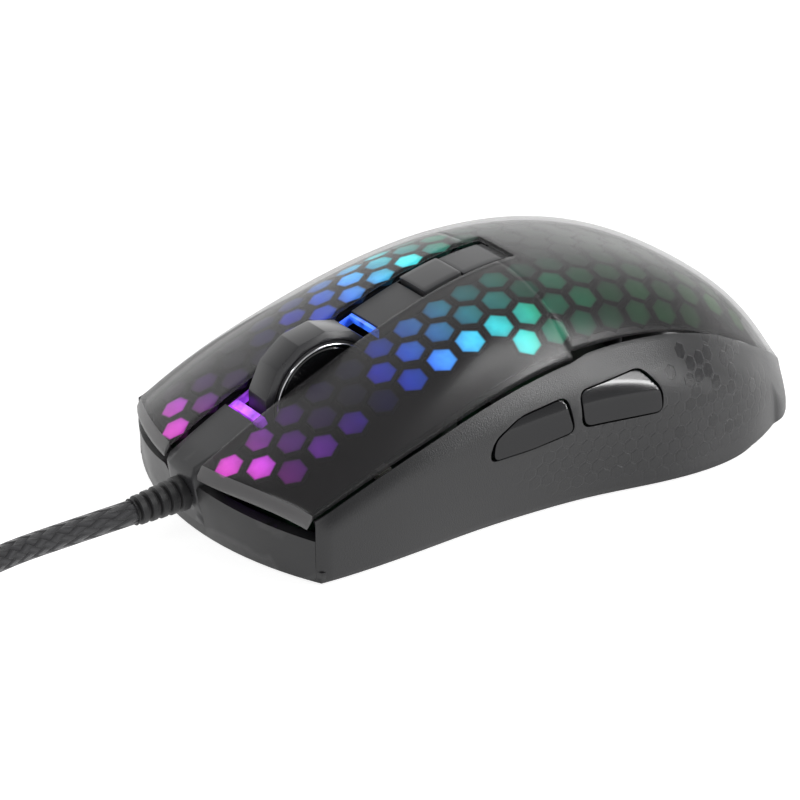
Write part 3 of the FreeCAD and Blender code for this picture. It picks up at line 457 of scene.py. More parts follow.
def smoky_material(name, see_through, roughness, colour):
    """Smoke-tinted plastic: a faint cloud in its tint, fine dust in its gloss."""
    material, tree, shader = new_material(name, Alpha=see_through, IOR=1.5)
    place = add_node(tree, "ShaderNodeTexCoord").outputs["Object"]
    cloud = add_node(tree, "ShaderNodeTexNoise", {"Vector": place, "Scale": 60.0, "Detail": 3.0})
    dust = add_node(tree, "ShaderNodeTexNoise", {"Vector": place, "Scale": 2500.0, "Detail": 2.0})
    tint = add_node(tree, "ShaderNodeValToRGB", {"Fac": cloud.outputs["Fac"]})
    tint.color_ramp.elements[0].color = (*[c * 0.8 for c in colour], 1)
    tint.color_ramp.elements[1].color = (*[c * 1.25 for c in colour], 1)
    rough = add_node(tree, "ShaderNodeMapRange", {"Value": dust.outputs["Fac"], "To Min": roughness * 0.85,
                                                  "To Max": roughness * 1.15})
    tree.links.new(tint.outputs["Color"], shader.inputs["Base Color"])
    tree.links.new(rough.outputs["Result"], shader.inputs["Roughness"])
    return material


smoky_shell = smoky_material("smoky_shell", 0.5, 0.24, (0.03, 0.029, 0.03))
clear_root = smoky_material("clear_root", 0.03, 0.2, (0.03, 0.029, 0.03))
lip_grain = moulding("lip_grain", (0.12, 0.118, 0.12), 0.4, 0.22, 0.06, Alpha=0.85)


def skin(name, plan, columns, rows, body, node, lip_test, cut_test=None):
    sheet = laid_grid(name, plan, columns, rows)
    if cut_test:
        select_where(sheet, "FACE", cut_test)
        bpy.ops.mesh.delete(type="FACE")
    bpy.ops.object.mode_set(mode="EDIT")
    bpy.ops.mesh.select_all(action="SELECT")
    bpy.ops.mesh.remove_doubles(threshold=0.02 * MM)
    bpy.ops.object.mode_set(mode="OBJECT")
    for corner in sheet.data.vertices:
        x, y = corner.co.x / MM, corner.co.y / MM
        if y < -40:
            lip = (HINGE_Y - nose_y(x)) / 60
            corner.co.z -= 1.1 * MM * max(0.0, 1 - (y - nose_y(x)) / lip)
    uses = {}
    for face in sheet.data.polygons:
        for key in face.edge_keys:
            uses[key] = uses.get(key, 0) + 1
    select_where(sheet, "EDGE", lambda e: uses[tuple(sorted(e.vertices))] == 1 and lip_test(edge_middle(sheet, e)))
    bpy.ops.mesh.extrude_edges_move(TRANSFORM_OT_translate={"value": (0, 0, -0.9 * MM)})
    thickened(sheet, SKIN_THICK)
    sheet.data.materials.append(smoky_shell)
    finished(sheet, body, "smoky_shell", smoky_shell, node, angle=40)
    sheet.data.materials.append(clear_root)
    sheet.data.materials.append(lip_grain)
    for face in sheet.data.polygons:
        middle = face.center / MM
        if abs(middle.y - HINGE_Y) < 0.06 and abs(face.normal.y) > 0.8:
            face.material_index = 1
        elif middle.y < nose_y(middle.x) + 0.95:
            face.material_index = 2
    return sheet


for side, name in ((1, "left_key"), (-1, "right_key")):
    skin(f"{name}_skin", key_plan(side), 26, 60, name, name, lambda p: p.y < HINGE_Y - 0.2)
palm_skin = skin("palm_skin", palm_plan, 48, 64, "chassis", "top_shell", lambda p: p.y > HINGE_Y + 0.2,
                 lambda f: abs(f.center.x) < (CHANNEL_HALF - 0.2) * MM and f.center.y < CHANNEL_REAR * MM)

# ---- Honeycomb: lit cells under the skin ----
# A dark plate under each key and under the palm carries hexagonal cells that point up
# at the skin. Lamps under the plate light the cells in patches, from pink to green.

CELL_PITCH, ROW_PITCH, CELL_RADIUS = 5.5, 6.35, 2.95
CELL_FOOT, CELL_STAND = 2.1, 0.9
LAMP_SPOTS = [
    (15.5, -54.5, 2.8, 1.0), (9.5, -57.8, 2.8, 0.8), (22, -57, 2.6, 1.0), (16, -60.5, 2.2, 0.6), (9.3, -51, 3.0, 0.35),
    (20, -44, 3.4, 0.35), (9, -44, 3.0, 0.06), (-8.7, -57.6, 2.6, 0.9), (-14, -54.5, 2.6, 0.7), (-8.7, -51, 2.6, 0.3),
    (-14, -60.5, 2.4, 0.4), (25, -33, 2.6, 1.0), (14, -31.5, 3.0, 0.2), (25, -26, 3.2, 1.0), (19.5, -29, 3.0, 0.25),
    (19, -22, 3.5, 0.8), (23, -15, 6.5, 1.0), (22, -6, 5.5, 0.9), (14, -24, 4.5, 0.32), (9, -24, 5.0, 0.25),
    (13, -16, 5.0, 0.3), (12, -5, 7.0, 0.12), (18, 8, 8.0, 0.15), (20, 22, 10, 0.09), (24, 42, 9, 0.15),
    (-10, -28, 7.0, 0.3), (-12, -18, 8.0, 0.7), (-8.6, -9.8, 3.5, 0.85), (-24, -12, 9.0, 0.5), (-12, -3, 5.0, 0.3),
    (-22, 8, 10, 0.05), (0, 30, 14, 0.02)]



def brightness(x, y):
    near = [level * math.exp(-((x - a) ** 2 + (y - b) ** 2) / reach**2) for a, b, reach, level in LAMP_SPOTS]
    return min(1.0, 0.0015 + max(near))


def hue_ramp(tree, place):
    """The lamps' colour along the mouse, from pink at the nose to green at the palm."""
    split = add_node(tree, "ShaderNodeSeparateXYZ", {0: place})
    along = add_node(tree, "ShaderNodeMapRange", {"Value": split.outputs["Y"], "From Min": -60 * MM,
                                                  "From Max": 60 * MM})
    ramp = add_node(tree, "ShaderNodeValToRGB", {"Fac": along.outputs["Result"]}).color_ramp
    hues = [(-60, (1.0, 0.08, 0.85)), (-50, (0.42, 0.06, 0.85)), (-40, (0.13, 0.03, 0.6)), (-32, (0.05, 0.05, 1.0)),
            (-25, (0.04, 0.16, 1.0)), (-18, (0.07, 0.4, 1.0)), (-10, (0.05, 0.8, 0.9)), (0, (0.02, 0.55, 0.32)),
            (15, (0.015, 0.3, 0.1)), (50, (0.08, 0.36, 0.05))]
    for k, (y, colour) in enumerate(hues):
        element = ramp.elements[k] if k < 2 else ramp.elements.new((y + 60) / 120)
        element.position = (y + 60) / 120
        element.color = (*colour, 1)
    return tree.nodes[-1].outputs["Color"]


def cell_material():
    """Milky cells: each glows by its own share of light, in the hue of its place."""
    material, tree, shader = new_material("honeycomb_cells", Roughness=0.5)
    place = add_node(tree, "ShaderNodeTexCoord").outputs["Object"]
    hue = hue_ramp(tree, place)
    share = add_node(tree, "ShaderNodeAttribute", attribute_name="glow").outputs["Fac"]
    grain = add_node(tree, "ShaderNodeTexNoise", {"Vector": place, "Scale": 350.0, "Detail": 2.0})
    uneven = add_node(tree, "ShaderNodeMapRange", {"Value": grain.outputs["Fac"], "To Min": 0.6, "To Max": 1.4})
    level = maths(tree, "MULTIPLY", maths(tree, "MULTIPLY", share, uneven.outputs["Result"]), 6.0)
    tree.links.new(hue, shader.inputs["Emission Color"])
    tree.links.new(level, shader.inputs["Emission Strength"])
    tree.links.new(hue, shader.inputs["Base Color"])
    shader.inputs["Base Color"].default_value = (0.01, 0.01, 0.01, 1)
    dim = add_node(tree, "ShaderNodeMix", {0: 0.03, 6: (0.004, 0.004, 0.005, 1), 7: hue}, data_type="RGBA")
    tree.links.new(dim.outputs[2], shader.inputs["Base Color"])
    return material


def across_to_x(reach, y):
    """The half width x at which the top's own surface has run this far from the middle."""
    x, run, step = 0.0, 0.0, 0.25
    while run < reach:
        run += math.hypot(step, top_z(x + step, y) - top_z(x, y))
        x += step
    return x


def cell_model():
    deselect()
    bpy.ops.mesh.primitive_circle_add(vertices=6, radius=CELL_RADIUS, fill_type="NGON", rotation=(0, 0, math.pi / 6))
    cell = bpy.context.object
    bpy.ops.object.transform_apply()
    bpy.ops.object.mode_set(mode="EDIT")
    bpy.ops.mesh.select_all(action="SELECT")
    for rise, share in ((CELL_STAND, 0.97), (0.0, 0.84), (0.0, 0.5)):
        bpy.ops.mesh.extrude_region_move(TRANSFORM_OT_translate={"value": (0, 0, rise)})
        bpy.ops.transform.resize(value=(share, share, 1))
    bpy.ops.mesh.poke()
    bpy.ops.object.mode_set(mode="OBJECT")
    return cell


def honeycomb(name, body, node, sites, plate_plan, columns, rows, cells_paint, plate_paint):
    model = cell_model()
    made = []
    for x, y in sites:
        foot, up = on_top(x, y, CELL_FOOT)
        sideways = Vector((1, 0, -up.x / up.z)).normalized()
        turn = Matrix((sideways, up.cross(sideways), up)).transposed().to_4x4()
        cell = model.copy()
        cell.data = model.data.copy()
        bpy.context.collection.objects.link(cell)
        light = brightness(x, y)
        glow = cell.data.attributes.new("glow", "FLOAT", "POINT")
        for value, vertex in zip(glow.data, cell.data.vertices):
            reach = math.hypot(vertex.co.x, vertex.co.y) / CELL_RADIUS
            value.value = light * (0.0 if vertex.co.z < CELL_STAND / 2 or reach > 0.93 else 1.0 if reach < 0.7 else 0.8)
        cell.data.transform(Matrix.Scale(MM, 4) @ Matrix.Translation(foot) @ turn)
        made.append(cell)
    bpy.data.objects.remove(model)
    deselect()
    for cell in made:
        cell.select_set(True)
    bpy.context.view_layer.objects.active = made[0]
    bpy.ops.object.join()
    cells = bpy.context.object
    cells.name = name
    finished(cells, body, "light_guide", cells_paint, node, angle=20)
    plate = laid_grid(f"{name}_plate", plate_plan, columns, rows, CELL_FOOT - 0.05)
    return cells, plate


cells_paint = cell_material()
plate_paint = moulding("honeycomb_plate", (0.006, 0.006, 0.007), 0.8, 0.3, 0.002, Specular_IOR_Level=0.1)
columns_s = [8.8 + CELL_PITCH * k for k in range(5)]


def cell_sites(side, y_from, y_to):
    for k, reach in enumerate(columns_s):
        first = -2.6 if k % 2 == 0 else -6.1 + 0.35
        for row in range(-10, 11):
            y = first + ROW_PITCH * row
            if not y_from < y <= y_to:
                continue
            x = across_to_x(reach, y)
            edge = min(seam_x(y), rear_half(y)) - 2.6
            if x < edge and y > nose_y(x) + 3.0:
                yield side * x, y


for side, name in ((1, "left_key"), (-1, "right_key")):
    plan = key_plan(side)
    cells, plate = honeycomb(f"{name}_cells", name, f"{name}_honeycomb",
                             list(cell_sites(side, -62, HINGE_Y - 2.0)),
                             lambda s, t: plan(0.03 + 0.93 * s, 0.03 + 0.95 * t), 20, 40, cells_paint, plate_paint)
    thickened(plate, 0.6, 0.1, 1)
    finished(plate, name, "light_guide", plate_paint)
palm_sites = [site for side in (-1, 1) for site in cell_sites(side, HINGE_Y - 2.0, 56)]
middle_rows = [(x, y) for x, first in ((0.0, 14.0), (4.4, 10.8), (-4.4, 10.8)) for y in
               [first + ROW_PITCH * k for k in range(7)] if y < 54]
cells, plate = honeycomb("palm_cells", "chassis", "palm_honeycomb", palm_sites + middle_rows,
                         lambda s, t: (lambda x, y: (x * 0.955, HINGE_Y + 1.0 + (y - HINGE_Y) * 0.955))(
                             *palm_plan(s, t)), 44, 50, cells_paint, plate_paint)
select_where(plate, "FACE", lambda f: abs(f.center.x) < (CHANNEL_HALF + 0.4) * MM and f.center.y < 6.5 * MM)
bpy.ops.mesh.delete(type="FACE")
thickened(plate, 0.6, 0.1, 1)
finished(plate, "chassis", "light_guide", plate_paint)

# ---- Slot: light strips along the wheel's channel ----
# Clear strips lie along both walls of the slot and across it before and behind the wheel,
# and carry the lamps' light to the eye.


def guide_material():
    material, tree, shader = new_material("slot_light", Roughness=0.25, Coat_Weight=0.6)
    place = add_node(tree, "ShaderNodeTexCoord").outputs["Object"]
    hue = hue_ramp(tree, place)
    streak = add_node(tree, "ShaderNodeTexNoise", {"Vector": place, "Scale": 420.0, "Detail": 2.0})
    level = add_node(tree, "ShaderNodeMapRange", {"Value": streak.outputs["Fac"], "From Min": 0.35, "From Max": 0.7,
                                                  "To Min": 0.15, "To Max": 1.6})
    tree.links.new(hue, shader.inputs["Emission Color"])
    tree.links.new(level.outputs["Result"], shader.inputs["Emission Strength"])
    tree.links.new(hue, shader.inputs["Base Color"])
    return material


def strip(name, x_from, x_to, y_from, y_to, depth, thickness, columns=2, rows=24, soften=0.2):
    """A slab whose top follows the crowned top, depth under it."""
    slab = laid_grid(name, lambda s, t: (x_from + (x_to - x_from) * s, y_from + (y_to - y_from) * t),
                     columns, rows, depth)
    thickened(slab, thickness, soften)
    return slab


slot_light = guide_material()
for name, x0, x1, y0, y1, depth in (
        ("slot_light_far", -5.35, -4.55, -61.0, 4.4, 2.2),
        ("slot_light_front", -4.4, 4.4, -51.2, -49.6, 2.0), ("slot_light_rear", -4.4, 4.4, -25.6, -24.5, 1.6)):
    finished(strip(name, x0, x1, y0, y1, depth, 1.6), "chassis", "light_guide", slot_light)

# ---- Slot: nose strip, spine and the two top buttons ----
# Satin black mouldings fill the slot before and behind the wheel. The front button stands
# proud of the spine, and the rear one lies nearly flush with it.

satin = moulding("satin_trim", (0.022, 0.022, 0.024), 0.42, 0.25, 0.008)
button_satin = moulding("satin_buttons", (0.03, 0.03, 0.032), 0.4, 0.25, 0.006)


def merged_copy(name, node, body, slot_name, material, angle=32):
    """A CAD piece with its loose triangles joined, smoothed and given its finish."""
    source = frame["nodes"][node]
    piece = source.copy()
    piece.data = source.data.copy()
    piece.name = name
    piece.parent = None
    for key in list(piece.keys()):
        del piece[key]
    bpy.context.collection.objects.link(piece)
    piece.hide_render = piece.hide_viewport = False
    work_on(piece)
    bpy.ops.object.mode_set(mode="EDIT")
    bpy.ops.mesh.select_all(action="SELECT")
    bpy.ops.mesh.remove_doubles(threshold=0.003 * MM)
    bpy.ops.object.mode_set(mode="OBJECT")
    piece.data.materials.clear()
    return finished(piece, body, slot_name, material, node, angle=angle)


merged_copy("nose_centre", "nose_block", "chassis", "trim", satin)
merged_copy("slot_spine", "centre_spine", "chassis", "trim", satin)
finished(strip("front_top_button", -4.05, 4.05, -14.4, -6.1, 0.25, 3.2, 6, 10, 0.35), "dpi_button", "trim_button",
         button_satin, "dpi_button", angle=40)
finished(strip("rear_top_button", -4.05, 4.05, -5.8, 3.1, 0.75, 2.7, 6, 10, 0.2), "mode_button", "trim_button",
         button_satin, "mode_button", angle=40)

# ---- Bottom case and side panels ----
# The case is a satin tray whose front rises as a bumper. The side panels are grained for
# grip, with small hexagons standing in the grain.

case_paint = moulding("case_satin", (0.01, 0.01, 0.011), 0.42, 0.25, 0.03)
merged_copy("case_tray", "bottom_case", "chassis", "case", case_paint)


PANEL_FOOT, PANEL_GROW = 0.9, 0.14


def flank_point(y, squeeze, t, grow=0.0, low=PANEL_FOOT, soft=4.0, inset=0.0):
    """A point on a side: up the wall, round the shoulder and up its slope to the seam, as t goes from 0 to 1."""
    slope = shoulder_slope(y)
    top = Vector((seam_x(y) + open_half(y) + inset, seam_z(y) - slope * (open_half(y) + inset)))

    def wall(z):
        return wall_x(min(y, REAR_FROM), z) * squeeze + grow

    lift = grow * 1.15
    z = top.y
    for _ in range(8):
        z = top.y + lift - slope * max(0.0, wall(z) - top.x)
    corner = Vector((wall(z), z))
    rise = Vector((top.x, top.y + lift)) - corner
    near = min(soft, rise.length * 0.62, (z - low) * 0.45)
    below, above = Vector((wall(z - near), z - near)), corner + rise.normalized() * near if rise.length else corner
    if t < 0.55:
        height = low + (below.y - low) * t / 0.55
        return Vector((wall(height), height))
    if t < 0.85:
        u = (t - 0.55) / 0.3
        return below * (1 - u) ** 2 + corner * 2 * u * (1 - u) + above * u**2
    return above + (Vector((top.x, top.y + lift)) - above) * (t - 0.85) / 0.15


shoulder_slope = curve_through([(-56, 1.6), (-40, 1.6), (-20, 1.5), (0, 1.3), (20, 1.25), (40, 1.4), (56, 1.6)])
PANEL_FRONT, CORNER_X = -54.3, 29.4


def flank_station(s):
    """Along a side, from its front pillar to where it meets the palm's rear edge: the place and the squeeze."""
    straight = 0.84
    if s <= straight:
        return PANEL_FRONT + (REAR_FROM - PANEL_FRONT) * s / straight, 1.0
    turn = math.radians(60) * (s - straight) / (1 - straight)
    return REAR_FROM + (REAR_END - REAR_FROM) * math.sin(turn) ** 1.25, math.cos(turn) ** 0.8


def flank_sheet(name, stations, rows, place):
    deselect()
    bpy.ops.mesh.primitive_grid_add(x_subdivisions=stations, y_subdivisions=rows, size=2)
    sheet = bpy.context.object
    sheet.name = name
    for corner in sheet.data.vertices:
        corner.co = Vector(place((corner.co.x + 1) / 2, (corner.co.y + 1) / 2)) * MM
    return sheet


def panel_place(side):
    def place(s, t):
        y, squeeze = flank_station(s)
        point = flank_point(y, squeeze, t, PANEL_GROW)
        x = point.x
        front = max(0.0, 1 - (y - PANEL_FRONT) / 1.6)
        x = x - (x - CORNER_X) * front**2
        y = y - 0.55 * front
        return side * x, y, point.y
    return place


def rounded(outline, inset, radius, steps=5):
    """An outline of (y, z) corners, moved in by inset, with each corner rounded."""
    count = len(outline)
    area = sum(outline[k][0] * outline[(k + 1) % count][1] - outline[(k + 1) % count][0] * outline[k][1]
               for k in range(count))
    points = [Vector(p) for p in (outline if area > 0 else outline[::-1])]
    moved = []
    for k in range(count):
        before, here, after = points[k - 1], points[k], points[(k + 1) % count]
        a, b = (here - before).normalized(), (after - here).normalized()
        inward = Vector((-a.y, a.x)) + Vector((-b.y, b.x))
        moved.append(here + inward * inset / (1 + a.dot(b)))
    result = []
    for k in range(count):
        before, here, after = moved[k - 1], moved[k], moved[(k + 1) % count]
        reach = min(radius, (here - before).length * 0.45, (after - here).length * 0.45)
        start = here + (before - here).normalized() * reach
        end = here + (after - here).normalized() * reach
        for step in range(steps + 1):
            u = step / steps
            result.append(start * (1 - u) ** 2 + here * 2 * u * (1 - u) + end * u**2)
    return result


def cutter(outline, x_from, x_to):
    deselect()
    bpy.ops.mesh.primitive_circle_add(vertices=len(outline), radius=MM, fill_type="NGON")
    piece = bpy.context.object
    for corner, point in zip(piece.data.vertices, outline):
        corner.co = Vector((x_from, point.x, point.y)) * MM
    bpy.ops.object.mode_set(mode="EDIT")
    bpy.ops.mesh.select_all(action="SELECT")
    bpy.ops.mesh.extrude_region_move(TRANSFORM_OT_translate={"value": ((x_to - x_from) * MM, 0, 0)})
    bpy.ops.mesh.select_all(action="SELECT")
    bpy.ops.mesh.normals_make_consistent(inside=False)
    bpy.ops.object.mode_set(mode="OBJECT")
    return piece


def carved(piece, tool, operation):
    apply_modifier(piece, "BOOLEAN", object=tool, operation=operation, solver="EXACT")
    bpy.data.objects.remove(tool)


FORWARD_WINDOW = [(-20.1, 14.2), (-19.2, 18.6), (-13.4, 21.5), (-3.0, 22.6), (-1.3, 15.3), (-10.9, 14.3)]
BACK_WINDOW = [(-0.4, 22.7), (0.0, 15.6), (17.9, 14.3), (17.8, 19.0), (13.8, 23.7)]
WINDOW_ROUND = 2.0


def side_panel(name, side):
    panel = flank_sheet(name, 110, 30, panel_place(side))
    work_on(panel)
    bpy.ops.object.mode_set(mode="EDIT")
    bpy.ops.mesh.select_all(action="SELECT")
    bpy.ops.mesh.normals_make_consistent(inside=False)
    bpy.ops.object.mode_set(mode="OBJECT")
    if sum(f.normal.x * f.area for f in panel.data.polygons) * side < 0:
        panel.data.flip_normals()
    apply_modifier(panel, "SOLIDIFY", thickness=0.9 * MM, offset=-1, use_even_offset=True)
    return panel


def grip_material():
    """Satin plastic with a sparkling grain, and small hexagons standing in it that fade in towards the palm."""
    material = moulding("grip_satin", (0.01, 0.01, 0.011), 0.34, 0.25, 0.05)
    tree = material.node_tree
    shader = tree.nodes["Principled BSDF"]
    place = add_node(tree, "ShaderNodeTexCoord").outputs["Object"]
    split = add_node(tree, "ShaderNodeSeparateXYZ", {0: place})
    pitch = 2.7 * MM
    y, z = split.outputs["Y"], split.outputs["Z"]
    lattices = []
    for shift in (0.0, 0.5):
        a = maths(tree, "SUBTRACT", y, shift * pitch)
        b = maths(tree, "SUBTRACT", z, shift * pitch * 1.732)
        a = add_node(tree, "ShaderNodeMath", {0: a, 1: pitch / 2, 2: -pitch / 2}, operation="WRAP").outputs[0]
        b = add_node(tree, "ShaderNodeMath", {0: b, 1: pitch * 0.866, 2: -pitch * 0.866}, operation="WRAP").outputs[0]
        centre_y, centre_z = maths(tree, "SUBTRACT", y, a), maths(tree, "SUBTRACT", z, b)
        a, b = maths(tree, "ABSOLUTE", a), maths(tree, "ABSOLUTE", b)
        slanted = maths(tree, "ADD", maths(tree, "MULTIPLY", a, 0.5), maths(tree, "MULTIPLY", b, 0.866))
        lattices.append((maths(tree, "MAXIMUM", a, slanted), centre_y, centre_z))
    second = maths(tree, "LESS_THAN", lattices[1][0], lattices[0][0])
    nearest, centre_y, centre_z = [add_node(tree, "ShaderNodeMix", {0: second, 2: one, 3: other}).outputs[0]
                                   for one, other in zip(*lattices)]
    inside = add_node(tree, "ShaderNodeMapRange", {"Value": nearest, "From Min": 0.41 * pitch, "From Max": 0.44 * pitch,
                                                   "To Min": 1.0, "To Max": 0.0}).outputs["Result"]

    def patch(at_y, at_z, reach_y, reach_z):
        a = maths(tree, "DIVIDE", maths(tree, "SUBTRACT", centre_y, at_y * MM), reach_y * MM)
        b = maths(tree, "DIVIDE", maths(tree, "SUBTRACT", centre_z, at_z * MM), reach_z * MM)
        far = maths(tree, "ADD", maths(tree, "MULTIPLY", a, a), maths(tree, "MULTIPLY", b, b))
        return add_node(tree, "ShaderNodeMapRange", {"Value": far, "From Min": 0.3, "From Max": 1.0, "To Min": 1.0,
                                                     "To Max": 0.0}).outputs["Result"]

    steps = [maths(tree, "ROUND", maths(tree, "DIVIDE", centre, pitch * 0.25)) for centre in (centre_y, centre_z)]
    cell = add_node(tree, "ShaderNodeCombineXYZ", {0: steps[0], 1: steps[1]}).outputs["Vector"]
    chance = add_node(tree, "ShaderNodeTexWhiteNoise", {"Vector": cell}).outputs["Value"]
    many = maths(tree, "MULTIPLY", patch(31, 16, 15, 11), 0.5)
    dark = maths(tree, "MULTIPLY", inside, maths(tree, "LESS_THAN", chance, many))
    faint = maths(tree, "MULTIPLY", inside, patch(18, 9.5, 34, 8))
    shown = maths(tree, "MAXIMUM", dark, maths(tree, "MULTIPLY", faint, 0.35))
    old_colour = shader.inputs["Base Color"].links[0].from_socket
    old_rough = shader.inputs["Roughness"].links[0].from_socket
    tone = add_node(tree, "ShaderNodeMix", {0: shown, 6: old_colour, 7: (0.004, 0.004, 0.005, 1)}, data_type="RGBA")
    tree.links.new(tone.outputs[2], shader.inputs["Base Color"])
    rough = add_node(tree, "ShaderNodeMix", {0: dark, 2: old_rough, 3: 0.2})
    tree.links.new(rough.outputs[0], shader.inputs["Roughness"])
    grain_bump = shader.inputs["Normal"].links[0].from_node
    relief = maths(tree, "MAXIMUM", dark, faint)
    bump = add_node(tree, "ShaderNodeBump", {"Height": relief, "Distance": 0.00006, "Strength": 1.0,
                                             "Normal": grain_bump.outputs["Normal"]})
    tree.links.new(bump.outputs["Normal"], shader.inputs["Normal"])
    return material


grip = grip_material()
far_panel = side_panel("far_side_grip", -1)
thumb_panel = side_panel("thumb_side_grip", 1)
for outline in (FORWARD_WINDOW, BACK_WINDOW):
    carved(thumb_panel, cutter(rounded(outline, 0, WINDOW_ROUND), 15, 50), "DIFFERENCE")
for panel, node in ((far_panel, "right_side_panel"), (thumb_panel, "left_side_panel")):
    apply_modifier(panel, "BEVEL", width=0.25 * MM, segments=2, limit_method="ANGLE", angle_limit=math.radians(50))
    finished(panel, "chassis", "grip_panel", grip, node, angle=40)

# ---- Thumb buttons ----
# Two glossy black caps in windows of the thumb-side grip. Each is creased along its
# length where it turns over the shoulder, and leans in above the crease.

gloss = moulding("thumb_gloss", (0.004, 0.004, 0.005), 0.12, 0.5, 0.0005, Specular_IOR_Level=0.4)
CAP_GAP, CAP_PROUD, CAP_THICK, CAP_LEAN = 0.55, 0.3, 2.4, 0.16


def thumb_cap(name, outline, node):
    ys = [y for y, _ in outline]
    low, high = min(ys) - 1, max(ys) + 1

    def place(s, t):
        y = low + (high - low) * s
        point = flank_point(y, 1.0, 0.35 + 0.65 * t, CAP_PROUD, soft=2.6)
        return point.x - CAP_LEAN * (point.y - 17), y, point.y

    cap = flank_sheet(name, 40, 60, place)
    work_on(cap)
    if sum(f.normal.x * f.area for f in cap.data.polygons) < 0:
        cap.data.flip_normals()
    apply_modifier(cap, "SOLIDIFY", thickness=CAP_THICK * MM, offset=-1)
    carved(cap, cutter(rounded(outline, CAP_GAP, WINDOW_ROUND - CAP_GAP), 15, 50), "INTERSECT")
    apply_modifier(cap, "BEVEL", width=0.35 * MM, segments=3, limit_method="ANGLE", angle_limit=math.radians(45))
    finished(cap, node, "thumb_button", gloss, node, angle=40)


thumb_cap("forward_cap", FORWARD_WINDOW, "forward_button")
thumb_cap("back_cap", BACK_WINDOW, "back_button")

# ---- Wheel ----
# A rubber tyre moulded in fourteen broad flats on a glossy black hub, with a thin
# polished ring on each side of it.

WHEEL_Y, WHEEL_Z, WHEEL_RADIUS, TYRE_HALF, FLATS = -34.9, 19.65, 13.0, 3.3, 14
wheel_centre = Vector((0, WHEEL_Y, WHEEL_Z)) * MM


def spun(name, profile, steps=96):
    """A ring: a closed outline of (x, radius) points in mm, spun about the wheel's axle."""
    deselect()
    bpy.ops.mesh.primitive_circle_add(vertices=len(profile), radius=MM, fill_type="NOTHING")
    piece = bpy.context.object
    piece.name = name
    for corner, (x, r) in zip(piece.data.vertices, profile):
        corner.co = Vector((x, 0, r)) * MM
    bpy.ops.object.mode_set(mode="EDIT")
    bpy.ops.mesh.select_all(action="SELECT")
    bpy.ops.mesh.spin(steps=steps, angle=2 * math.pi, center=(0, 0, 0), axis=(1, 0, 0))
    bpy.ops.mesh.select_all(action="SELECT")
    bpy.ops.mesh.remove_doubles(threshold=0.002 * MM)
    bpy.ops.mesh.normals_make_consistent(inside=False)
    bpy.ops.object.mode_set(mode="OBJECT")
    piece.data.transform(Matrix.Translation(wheel_centre))
    return piece


tyre_rubber = moulding("tyre_rubber", (0.026, 0.026, 0.028), 0.3, 0.3, 0.01)
polished = moulding("polished_ring", (0.75, 0.75, 0.77), 0.12, 0.4, 0.001, Metallic=1.0)
hub_gloss = moulding("hub_gloss", (0.008, 0.008, 0.009), 0.12, 0.5, 0.002, Coat_Weight=0.5)
tyre = spun("wheel_tread", [(-TYRE_HALF, 11.6), (-2.9, 13.0), (2.9, 13.0), (TYRE_HALF, 11.6), (2.5, 11.2),
                            (2.5, 10.6), (-2.5, 10.6), (-2.5, 11.2)], FLATS)
apply_modifier(tyre, "BEVEL", width=0.16 * MM, segments=2, limit_method="ANGLE", angle_limit=math.radians(12))
finished(tyre, "wheel", "wheel_rubber", tyre_rubber, "wheel_tyre", angle=20)
beads = []
for side in (-1, 1):
    bead = spun(f"wheel_bead_{'far' if side < 0 else 'near'}",
                [(side * x, r) for x, r in ((2.4, 11.7), (3.05, 11.7), (3.2, 11.5), (3.2, 11.25), (2.8, 11.2), (2.8, 11.0),
                                            (3.2, 10.95), (3.2, 10.62), (2.4, 10.62))])
    finished(bead, "wheel", "wheel_rubber", tyre_rubber)
    ring = spun(f"wheel_ring_{'far' if side < 0 else 'near'}",
                [(side * x, r) for x, r in ((2.52, 10.58), (3.3, 10.58), (3.42, 10.5), (3.45, 10.3), (3.4, 10.1),
                                            (3.2, 9.95), (2.52, 9.7))])
    finished(ring, "wheel", "wheel_rim", polished, *(["wheel_rims"] if side > 0 else []), angle=50)
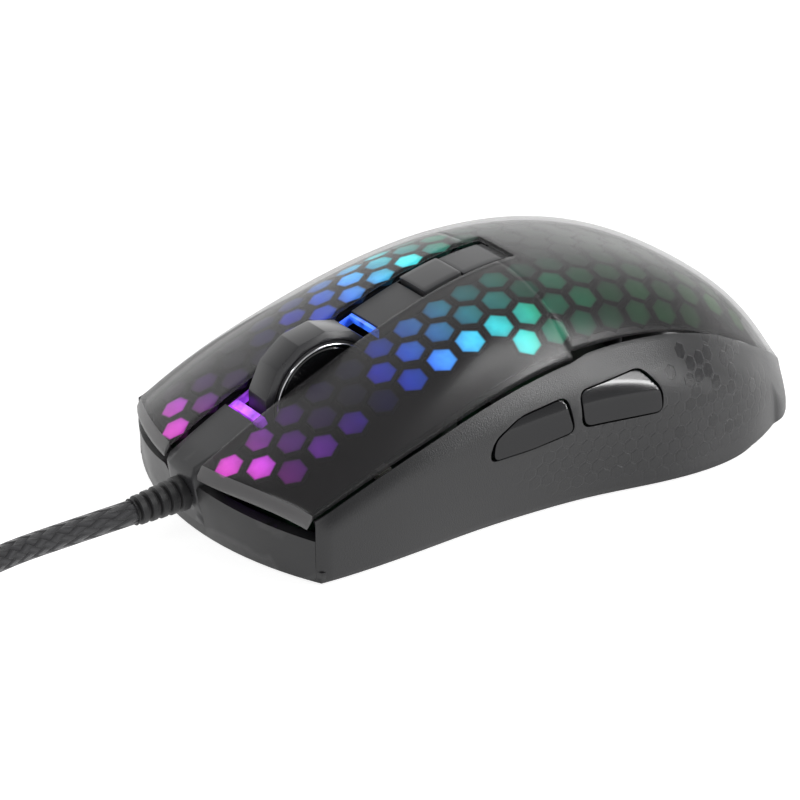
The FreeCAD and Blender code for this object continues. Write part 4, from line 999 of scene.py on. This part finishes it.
hub = turned("wheel_dish", [(-8.4, 0.02), (-8.4, 1.5), (-1.6, 1.5), (-1.6, 2.6), (-1.75, 4.5), (-2.2, 7.0), (-2.8, 9.0),
                            (-3.0, 9.4), (-2.9, 9.65), (2.9, 9.65), (3.0, 9.4), (2.8, 9.0), (2.2, 7.0), (1.75, 4.5),
                            (1.6, 2.6), (1.6, 1.5), (8.4, 1.5), (8.4, 0.02)], (0, WHEEL_Y, WHEEL_Z), (1, 0, 0), 72)
finished(hub, "wheel", "wheel_hub", hub_gloss, "wheel_hub", angle=40)

# ---- Inner pieces, underside and plug: finishes ----
# Boards, switches, screws, skates and the plug keep the shapes they were cut and moulded to.

FINISHES = {
    "diffuser": ((0.6, 0.6, 0.6), 0.5, {}), "switch_case": ((0.02, 0.02, 0.02), 0.4, {}),
    "circuit_board": ((0.01, 0.05, 0.02), 0.4, {}), "chip": ((0.01, 0.01, 0.011), 0.5, {}),
    "clear_lens": ((0.7, 0.75, 0.8), 0.1, {"Transmission_Weight": 0.9}), "connector": ((0.6, 0.58, 0.5), 0.5, {}),
    "lamp": ((0.8, 0.8, 0.75), 0.4, {}), "screw": ((0.3, 0.3, 0.31), 0.35, {"Metallic": 1.0}),
    "plunger": ((0.7, 0.1, 0.08), 0.4, {}), "inner_frame": ((0.02, 0.02, 0.022), 0.5, {}),
    "skate": ((0.012, 0.012, 0.013), 0.35, {}), "label": ((0.25, 0.25, 0.26), 0.4, {}),
    "tie": ((0.02, 0.02, 0.021), 0.5, {}), "plug_plastic": ((0.02, 0.02, 0.022), 0.45, {}),
    "plug_metal": ((0.6, 0.6, 0.62), 0.25, {"Metallic": 1.0}), "plug_tongue": ((0.75, 0.75, 0.72), 0.5, {}),
    "wheel_hub": ((0.02, 0.02, 0.021), 0.4, {}), "trim": ((0.05, 0.05, 0.053), 0.42, {})}
finishes = {name: moulding(name, colour, rough, 0.3, 0.008, **extra)
            for name, (colour, rough, extra) in FINISHES.items()}
slot_of = {part["node"]: part["material_slot"] for part in frame["record"]["subparts"]}
for node, piece in frame["nodes"].items():
    if piece.hide_render:
        continue
    finish = finishes[slot_of[node]]
    piece.data.materials.clear()
    piece.data.materials.append(finish)
